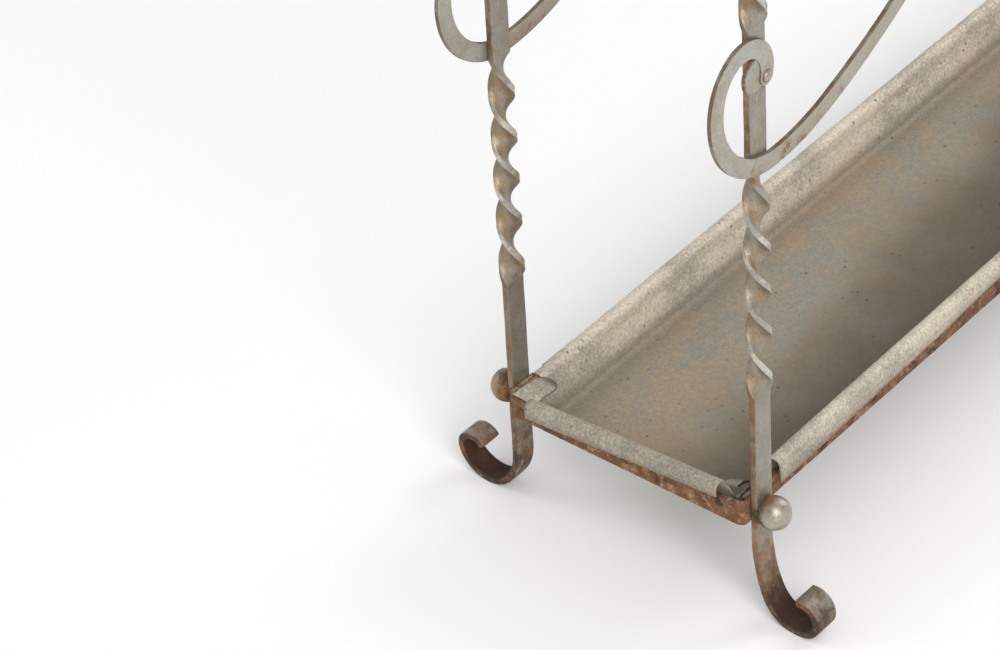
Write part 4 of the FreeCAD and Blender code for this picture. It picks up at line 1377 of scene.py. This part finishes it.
# ---- drip tray -----------------------------------------------------------------
@dataclass
class Tray:
    """The lift-out tray: one sheet folded up all round, its long and short edges
    rolled over the rails, the corners slit, notched and folded in."""

    layout: Layout
    sheet: float = 0.9 * MM
    roll: float = 5.1 * MM
    depth: float = 25.0 * MM
    slope: float = 6.0 * MM
    crease: float = 3.0 * MM
    tilt: float = 3.2
    long_stop: float = 260.0 * MM
    back_stop: float = 271.0 * MM
    notch: float = 6.0 * MM
    short_stop: float = 73.0 * MM
    front_skirt: float = 8.0 * MM
    bow: float = 2.2 * MM
    margin: float = 12.0 * MM
    long_steps: int = 196
    short_steps: int = 54
    corner_steps: int = 12
    floor_steps: int = 25

    def place(self) -> tuple[float, float, Vector]:
        """Half length, half width and middle of the tray between its roll centres,
        read from its solid's box.

        Returns:
            Half length, half width along the tilted tray, and the middle.
        """
        low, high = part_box("drip_tray")
        lean = math.radians(self.tilt)
        rear = high.y - self.roll
        front = low.y + self.roll * math.cos(lean) + self.front_skirt * math.sin(lean)
        half = (rear - front) / math.cos(lean) / 2.0
        front_z = high.z - self.roll
        middle = Vector((0.0, (rear + front) / 2.0, front_z - half * math.sin(lean)))
        return high.x - self.roll, half, middle

    def tipped(self, x: Array, y: Array, z: Array) -> Array:
        """Tip points about the long axis and move them to the middle of the tray.

        Args:
            x: places along the length.
            y: places across the level tray.
            z: heights above the roll centres.

        Returns:
            The points, with x, y, z last.
        """
        _, _, middle = self.place()
        lean = math.radians(-self.tilt)
        across = middle.y + y * math.cos(lean) - z * math.sin(lean)
        height = middle.z + y * math.sin(lean) + z * math.cos(lean)
        return np.stack([x, across, height], axis=-1)

    def build(self, finishes: Finishes) -> None:
        """Make and dress the tray and its folded corners."""
        shell = self.shell().piece("tray_shell", merge=True)
        self.thicken(shell)
        dress(shell, finishes.sheet, "tray", "tray_sheet", "drip_tray")
        flaps = self.flaps().piece("tray_corner_folds")
        self.thicken(flaps)
        dress(flaps, finishes.sheet, "tray", "tray_sheet")

    def thicken(self, thing: bpy.types.Object) -> None:
        """Give the sheet its gauge, away from its upper side."""
        wall = thing.modifiers.new("gauge", "SOLIDIFY")
        wall.thickness = self.sheet
        wall.offset = -1.0
        wall.use_even_offset = True

    def levels(self) -> tuple[Array, Array, Array]:
        """The sheet's upper side in section, from the hem to the middle of the
        floor: p is the distance outwards of the roll centre, q the height.

        Returns:
            p, q, and a code that is below 1 on the hem and the roll, up to 2 on the
            wall and the crease, and beyond 2 on the floor.
        """
        _, half_width, _ = self.place()
        hem = np.linspace(-1.0, 0.0, 6)[:-1]
        arc = np.linspace(0.0, math.pi, 19)
        down = np.linspace(0.0, 0.88, 9)[1:]
        fillet = np.linspace(0.0, 1.0, 7)[1:]
        wall_p = -self.roll - self.slope * down
        wall_q = -self.depth * down
        start = np.array([wall_p[-1], wall_q[-1]])
        corner = np.array([-self.roll - self.slope, -self.depth])
        stop = corner - np.array([self.crease * 1.6, 0.0])
        leaving, turning, reaching = (1 - fillet) ** 2, 2 * fillet * (1 - fillet), fillet**2
        curve = leaving[:, None] * start + turning[:, None] * corner + reaching[:, None] * stop
        floor = np.linspace(stop[0], -half_width, self.floor_steps + 1)[1:]
        p = np.concatenate([np.full(5, self.roll), self.roll * np.cos(arc), wall_p, curve[:, 0], floor])
        level_floor = np.full(self.floor_steps, -self.depth)
        q = np.concatenate([hem, self.roll * np.sin(arc), wall_q, curve[:, 1], level_floor])
        rolled = np.linspace(0.0, 1.0, len(arc))
        inward = np.linspace(0.0, 1.0, self.floor_steps + 1)[1:]
        code = np.concatenate([hem, rolled, 1.0 + down, 1.88 + 0.12 * fillet, 2.0 + inward])
        return p, q, code

    def edge_row(self, half: float, stop: float, pace: float, p: Array, body: int) -> tuple[Array, Array]:
        """Places along one edge for every level. Between the stops they are fixed;
        beyond them they close up to the mitred corner; on the floor they shrink
        with the ring.

        Args:
            half: half the edge, between roll centres.
            stop: where the roll ends.
            pace: where the same station lies on the floor.
            p: outward distance of each level.
            body: divisions between the stops.

        Returns:
            Places (levels, points), and which faces lie between the stops.
        """
        inner = np.linspace(-stop, stop, body + 1)
        t = np.linspace(0.0, 1.0, self.corner_steps + 1)[1:]
        corner = (half + p)[:, None]
        right = stop + (corner - stop) * t[None]
        between_stops = np.broadcast_to(inner, (len(p), body + 1))
        fixed = np.concatenate([-right[:, ::-1], between_stops, right], axis=1)
        lead = pace + (half - pace) * t
        share = np.concatenate([-lead[::-1], inner * pace / stop, lead]) / half
        scaled = share[None] * corner
        weight = smooth(-p, self.roll, self.roll + 6.5 * MM)[:, None]
        beyond = np.zeros(self.corner_steps, bool)
        between = np.concatenate([beyond, np.ones(body, bool), beyond])
        return fixed * (1.0 - weight) + scaled * weight, between

    def skirt(self, x: Array, y: Array) -> Array:
        """Depth of the hem below the roll centre: on the front it shrinks from the
        left, on the left end it shrinks towards the front."""
        half_length, half_width, _ = self.place()
        front = np.interp(x, [-0.26, -0.22, -0.086, -0.03, 0.1, 0.26], [12.0, 11.5, 8.0, 5.5, 6.5, 9.0]) * MM
        rear = (5.0 + 0.8 * np.sin(x * 21.0)) * MM
        ends = (4.9 + 1.5 * y / half_width) * MM
        return np.where(np.abs(x) > half_length, ends, np.where(y < 0.0, front, rear))

    def shell(self) -> Stock:
        """The whole sheet as one grid of levels by places round the rim, each level
        a rectangle of half sizes (half length + p, half width + p) at height q.

        Returns:
            The surface.
        """
        half_length, half_width, _ = self.place()
        p, q, code = self.levels()
        pace, long_steps, short_stop = self.long_stop, self.long_steps, self.short_stop
        long_row, long_keep = self.edge_row(half_length, self.long_stop, pace, p, long_steps)
        back_row, back_keep = self.edge_row(half_length, self.back_stop, pace, p, long_steps)
        short_row, short_keep = self.edge_row(half_width, short_stop, short_stop, p, self.short_steps)
        reach_x = (half_length + p)[:, None]
        reach_y = (half_width + p)[:, None]
        end_x = np.broadcast_to(reach_x, short_row.shape)
        front_y = np.broadcast_to(-reach_y, long_row.shape)
        rear_y = np.broadcast_to(reach_y, back_row.shape)
        x = np.concatenate([long_row, end_x, -back_row, -end_x], axis=1)
        y = np.concatenate([front_y, short_row, rear_y, -short_row], axis=1)
        gap = np.zeros(1, bool)
        rolled = np.concatenate([long_keep, gap, short_keep, gap, back_keep, gap, short_keep])
        # the rear rim reaches the posts, its hem cut away behind the rail ends
        hem_cut = (y > half_width) & (np.abs(x) > self.long_stop) & (code < 0.36)[:, None]
        on_roll = (code < 1.0)[:, None]
        z = np.where(code < 0.0, q, 0.0)[:, None] * self.skirt(x, y) + np.where(code < 0.0, 0.0, q)[:, None]
        raised = smooth(code, 2.0, 1.0)[:, None] * np.ones_like(x)
        front = smooth(-y, half_width * 0.7, half_width)
        z = z + self.bow * raised * front * np.clip(1.0 - (x / self.long_stop) ** 2, 0.0, 1.0)
        # a notch is filed in the top of the wall at both front corners
        near_end = np.abs(x) > half_length - self.margin
        near_front = y < -half_width + self.margin
        by_end = bump_at(np.abs(x), (self.long_stop + half_length) / 2.0, 11 * MM) * near_front
        by_side = bump_at(y, -(self.short_stop + half_width) / 2.0, 6 * MM) * near_end
        notched = np.maximum(by_end, by_side)
        z = z - self.notch * notched * smooth(code, 1.5, 1.0)[:, None] * (code >= 1.0)[:, None]
        spot = np.stack([x, y, z], axis=-1)
        dent = ripple(spot, 130 * MM, 201) * 0.5 * MM * smooth(code, 1.9, 2.3)[:, None]
        wave = ripple(spot, 70 * MM, 202) * 0.22 * MM + ripple(spot, 24 * MM, 203) * 0.1 * MM
        z = z + dent + wave * np.where(near_end, 0.4, 1.0)
        y = y + ripple(spot, 90 * MM, 204) * 0.3 * MM * raised * (np.abs(x) < self.long_stop)
        keep = np.where(on_roll[:-1], rolled[None], True) & ~(hem_cut[:-1, :-1] | hem_cut[:-1, 1:])
        ring_close = np.concatenate([keep, np.ones((keep.shape[0], 1), bool) & ~on_roll[:-1]], axis=1)
        level = code[:, None] * np.ones_like(x)
        # The pale rim colour runs down the walls to the crease: on the rolled rims it is the sheet's own
        # paler skin, on the walls it is partly painted light.
        rim = smooth(level, 1.95, 1.45)
        crease = bump_at(level, 1.9, 0.28)
        line = smooth(level, -0.55, -1.0) + bump_at(level, 1.12, 0.1) * 0.35
        across, length = y / half_width, x / half_length
        # Painted shade on the floor, darker towards the front and the right; none on the walls.
        damp = smooth(0.45 * length - 1.2 * across, -1.15, 0.75) * smooth(level, 1.7, 2.0)
        # A darker band on the walls by the left end, and painted shade in the front notches.
        painted_shade = 0.40 * smooth(x, -0.225, -0.272) * bump_at(level, 1.65, 0.45)
        painted_shade = painted_shade + 0.9 * notched * (level >= 0.95) * smooth(level, 1.7, 1.3)
        # The rims are darker at both ends, and painted shade darkens the lower part of the front roll and its
        # hem.
        flank = smooth(np.where(y < 0, q[:, None], 0.0), 5.0 * MM, 1.0 * MM)
        dark_ends_and_hem_shade = 0.8 * near_end + 0.55 * flank * (y < 0) * (level < 1.0)
        # The mask of creases and folds is painted shade: in the crease at the foot of the walls, on the hem
        # under the roll and in the front notches, with a darker band by the left end.
        masks = {
            "rim": rim,
            "shade_and_grime": crease * 0.26 + 0.25 * (level < -0.2) + painted_shade,
            "rust": np.clip(line, 0, 1) * 0.7,
            "damp": damp,
            "side": np.clip(dark_ends_and_hem_shade, 0, 1),
        }
        stock = Stock()
        stock.grid(self.tipped(x, y, z), None, masks, keep=ring_close, caps=False)
        return stock

    def flaps(self) -> Stock:
        """The corners of the sheet folded in: a small sheet at each corner, bent
        down over the wall, its free corner rounded.

        Returns:
            The surface.
        """
        half_length, half_width, _ = self.place()
        stock = Stock()
        for number, (side, end) in enumerate(CORNERS):
            u, v = np.meshgrid(np.linspace(0.0, 1.0, 26), np.linspace(0.0, 1.0, 18), indexing="ij")
            sx, sy = float(end.value), float(side.value)
            if side is Side.REAR:
                taper = np.sqrt(1.0 - (np.clip(u - 0.62, 0.0, None) / 0.385) ** 2)
                from_rim = 2.5 * MM + 15.5 * MM * (0.42 + (v - 0.42) * taper)
                x = sx * (half_length + 1.5 * MM - 29 * MM * u)
                y = sy * (half_width - from_rim)
                z = 5.6 * MM - 0.13 * from_rim - 4.5 * MM * u**3 - 1.6 * MM * smooth(v, 0.7, 1.0) * (1 - u)
                z = z + 0.35 * MM * np.sin(9.0 * u + 4.0 * v)
                # Painted shade: darker by the post and along the lowest edge of the folded flap.
                painted_shade = 0.9 * smooth(u, 0.34, 0.10) + 0.8 * smooth(np.abs(v - 0.42), 0.5, 0.56)
            else:
                inset = self.roll - 0.6 * MM
                x = sx * (half_length - inset - 13 * MM * u * (1.0 - 0.22 * v**3))
                y = sy * (half_width - inset - 0.5 * MM - 9 * MM * v * (1.0 - 0.30 * u**4))
                z = 1.5 * MM - 1.6 * MM * v - 5.5 * MM * u**3 - 2.5 * MM * (u * v) ** 2
                z = z + 0.3 * MM * np.sin(5 * u + number) * v
                # Painted shade: the flap darkens towards the end that bends down into the corner.
                painted_shade = 0.5 + 0.5 * smooth(u, 0.2, 0.7)
            surface = self.tipped(x, y, z)
            if sx * sy < 0:
                surface = surface[::-1]
            masks = {"rim": np.ones_like(u), "side": 0.4 + 0.4 * painted_shade, "shade_and_grime": np.clip(painted_shade, 0, 1)}
            stock.grid(surface, None, masks, wrap=False, caps=False)
        return stock


# ---- studio --------------------------------------------------------------------
@dataclass
class Studio:
    """A pale floor, soft light from large panels, and the camera, whose eye is
    given from the front left ball."""

    layout: Layout
    eye: tuple[float, float, float] = (-1.5956, -1.2054, 1.7442)
    heading: float = 48.484
    down: float = 38.557
    roll: float = -3.644
    lens: float = 160.99
    sensor: float = 36.0
    ball_out: float = 7.0 * MM
    floor_z: float = -0.0002
    rings: int = 24
    spokes: int = 96

    def build(self) -> None:
        """Set up the floor, the light and the camera."""
        self.floor()
        self.light()
        self.camera()

    def floor(self) -> None:
        """A wide floor whose rings widen with the square of their number, level
        and pale."""
        angle = np.linspace(0.0, 2.0 * math.pi, self.spokes, endpoint=False)
        radius = 0.25 + 40.0 * np.linspace(0.0, 1.0, self.rings)[:, None] ** 2
        height = np.full((self.rings, self.spokes), self.floor_z)
        surface = np.stack([radius * np.cos(angle), -radius * np.sin(angle), height], axis=-1)
        stock = Stock()
        stock.grid(surface, caps=False)
        level = np.array([0.0, 0.0, surface[0, 0, 2]])
        stock.grid(level + (surface[:1] - level) * np.linspace(0.0, 1.0, 6)[:, None, None], caps=False)
        thing = stock.piece("studio_floor", merge=True)
        bench = Bench("pale_floor")
        cloud = bench.noise(bench.place(), 3.0, 2.0)
        colour = bench.blend(cloud, (0.955, 0.955, 0.955, 1.0), (0.975, 0.975, 0.975, 1.0))
        grain = bench.noise(bench.place(), 200.0)
        thing.data.materials.append(bench.finish(colour, 0.0, 0.9, grain, 0.00005))

    def light(self) -> None:
        """An even sky and three large panels."""
        world = bpy.data.worlds.new("studio_sky")
        bpy.context.scene.world = world
        world.use_nodes = True
        sky = world.node_tree.nodes["Background"]
        sky.inputs["Color"].default_value = (1.0, 1.0, 1.0, 1.0)
        sky.inputs["Strength"].default_value = 0.62
        self.panel("key_panel", (-1.7, -2.4, 2.2), 1.9, 68.0)
        self.panel("side_panel", (2.6, -0.6, 1.8), 1.4, 26.0)
        self.panel("back_panel", (-1.2, 2.6, 2.4), 1.4, 14.0)
        bpy.context.scene.view_settings.view_transform = "Standard"

    def panel(self, name: str, at: tuple[float, float, float], size: float, power: float) -> None:
        """One square panel turned to the middle of the stand."""
        lamp = bpy.data.lights.new(name, "AREA")
        lamp.size, lamp.energy = size, power
        thing = bpy.data.objects.new(name, lamp)
        bpy.context.scene.collection.objects.link(thing)
        thing.location = at
        thing.rotation_euler = (Vector((0.0, 0.0, 0.25)) - Vector(at)).to_track_quat("-Z", "Y").to_euler()

    def camera(self) -> None:
        """A long lens that looks down at the left end from the front."""
        turn, dip, tilt = (math.radians(a) for a in (self.heading, self.down, self.roll))
        forward = Vector((math.sin(turn) * math.cos(dip), math.cos(turn) * math.cos(dip), -math.sin(dip)))
        level = Vector((math.cos(turn), -math.sin(turn), 0.0))
        above = level.cross(forward)
        right = level * math.cos(tilt) + above * math.sin(tilt)
        up = right.cross(forward)
        lens = bpy.data.cameras.new("camera")
        lens.lens, lens.sensor_width = self.lens, self.sensor
        lens.clip_start, lens.clip_end = 0.05, 200.0
        thing = bpy.data.objects.new("camera", lens)
        bpy.context.scene.collection.objects.link(thing)
        spin = Matrix((right, up, -forward)).transposed().to_4x4()
        ball_y = self.layout.face_y[Side.FRONT] - self.ball_out
        ball = Vector((-self.layout.post_x, ball_y, self.layout.ball_z))
        thing.matrix_world = Matrix.Translation(ball + Vector(self.eye)) @ spin
        bpy.context.scene.camera = thing


def main() -> None:
    """Build the studio and every sub-assembly."""
    logging.basicConfig(level=logging.INFO, format="%(name)s %(message)s")
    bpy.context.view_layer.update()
    layout = Layout.read()
    Studio(layout).build()
    finishes = Finishes.make()
    for part in (Posts(layout), Scrolls(layout), Rails(layout), Fastenings(layout), Tray(layout)):
        part.build(finishes)
        log.info("%s done", type(part).__name__)


if __name__ == "__main__":
    main()
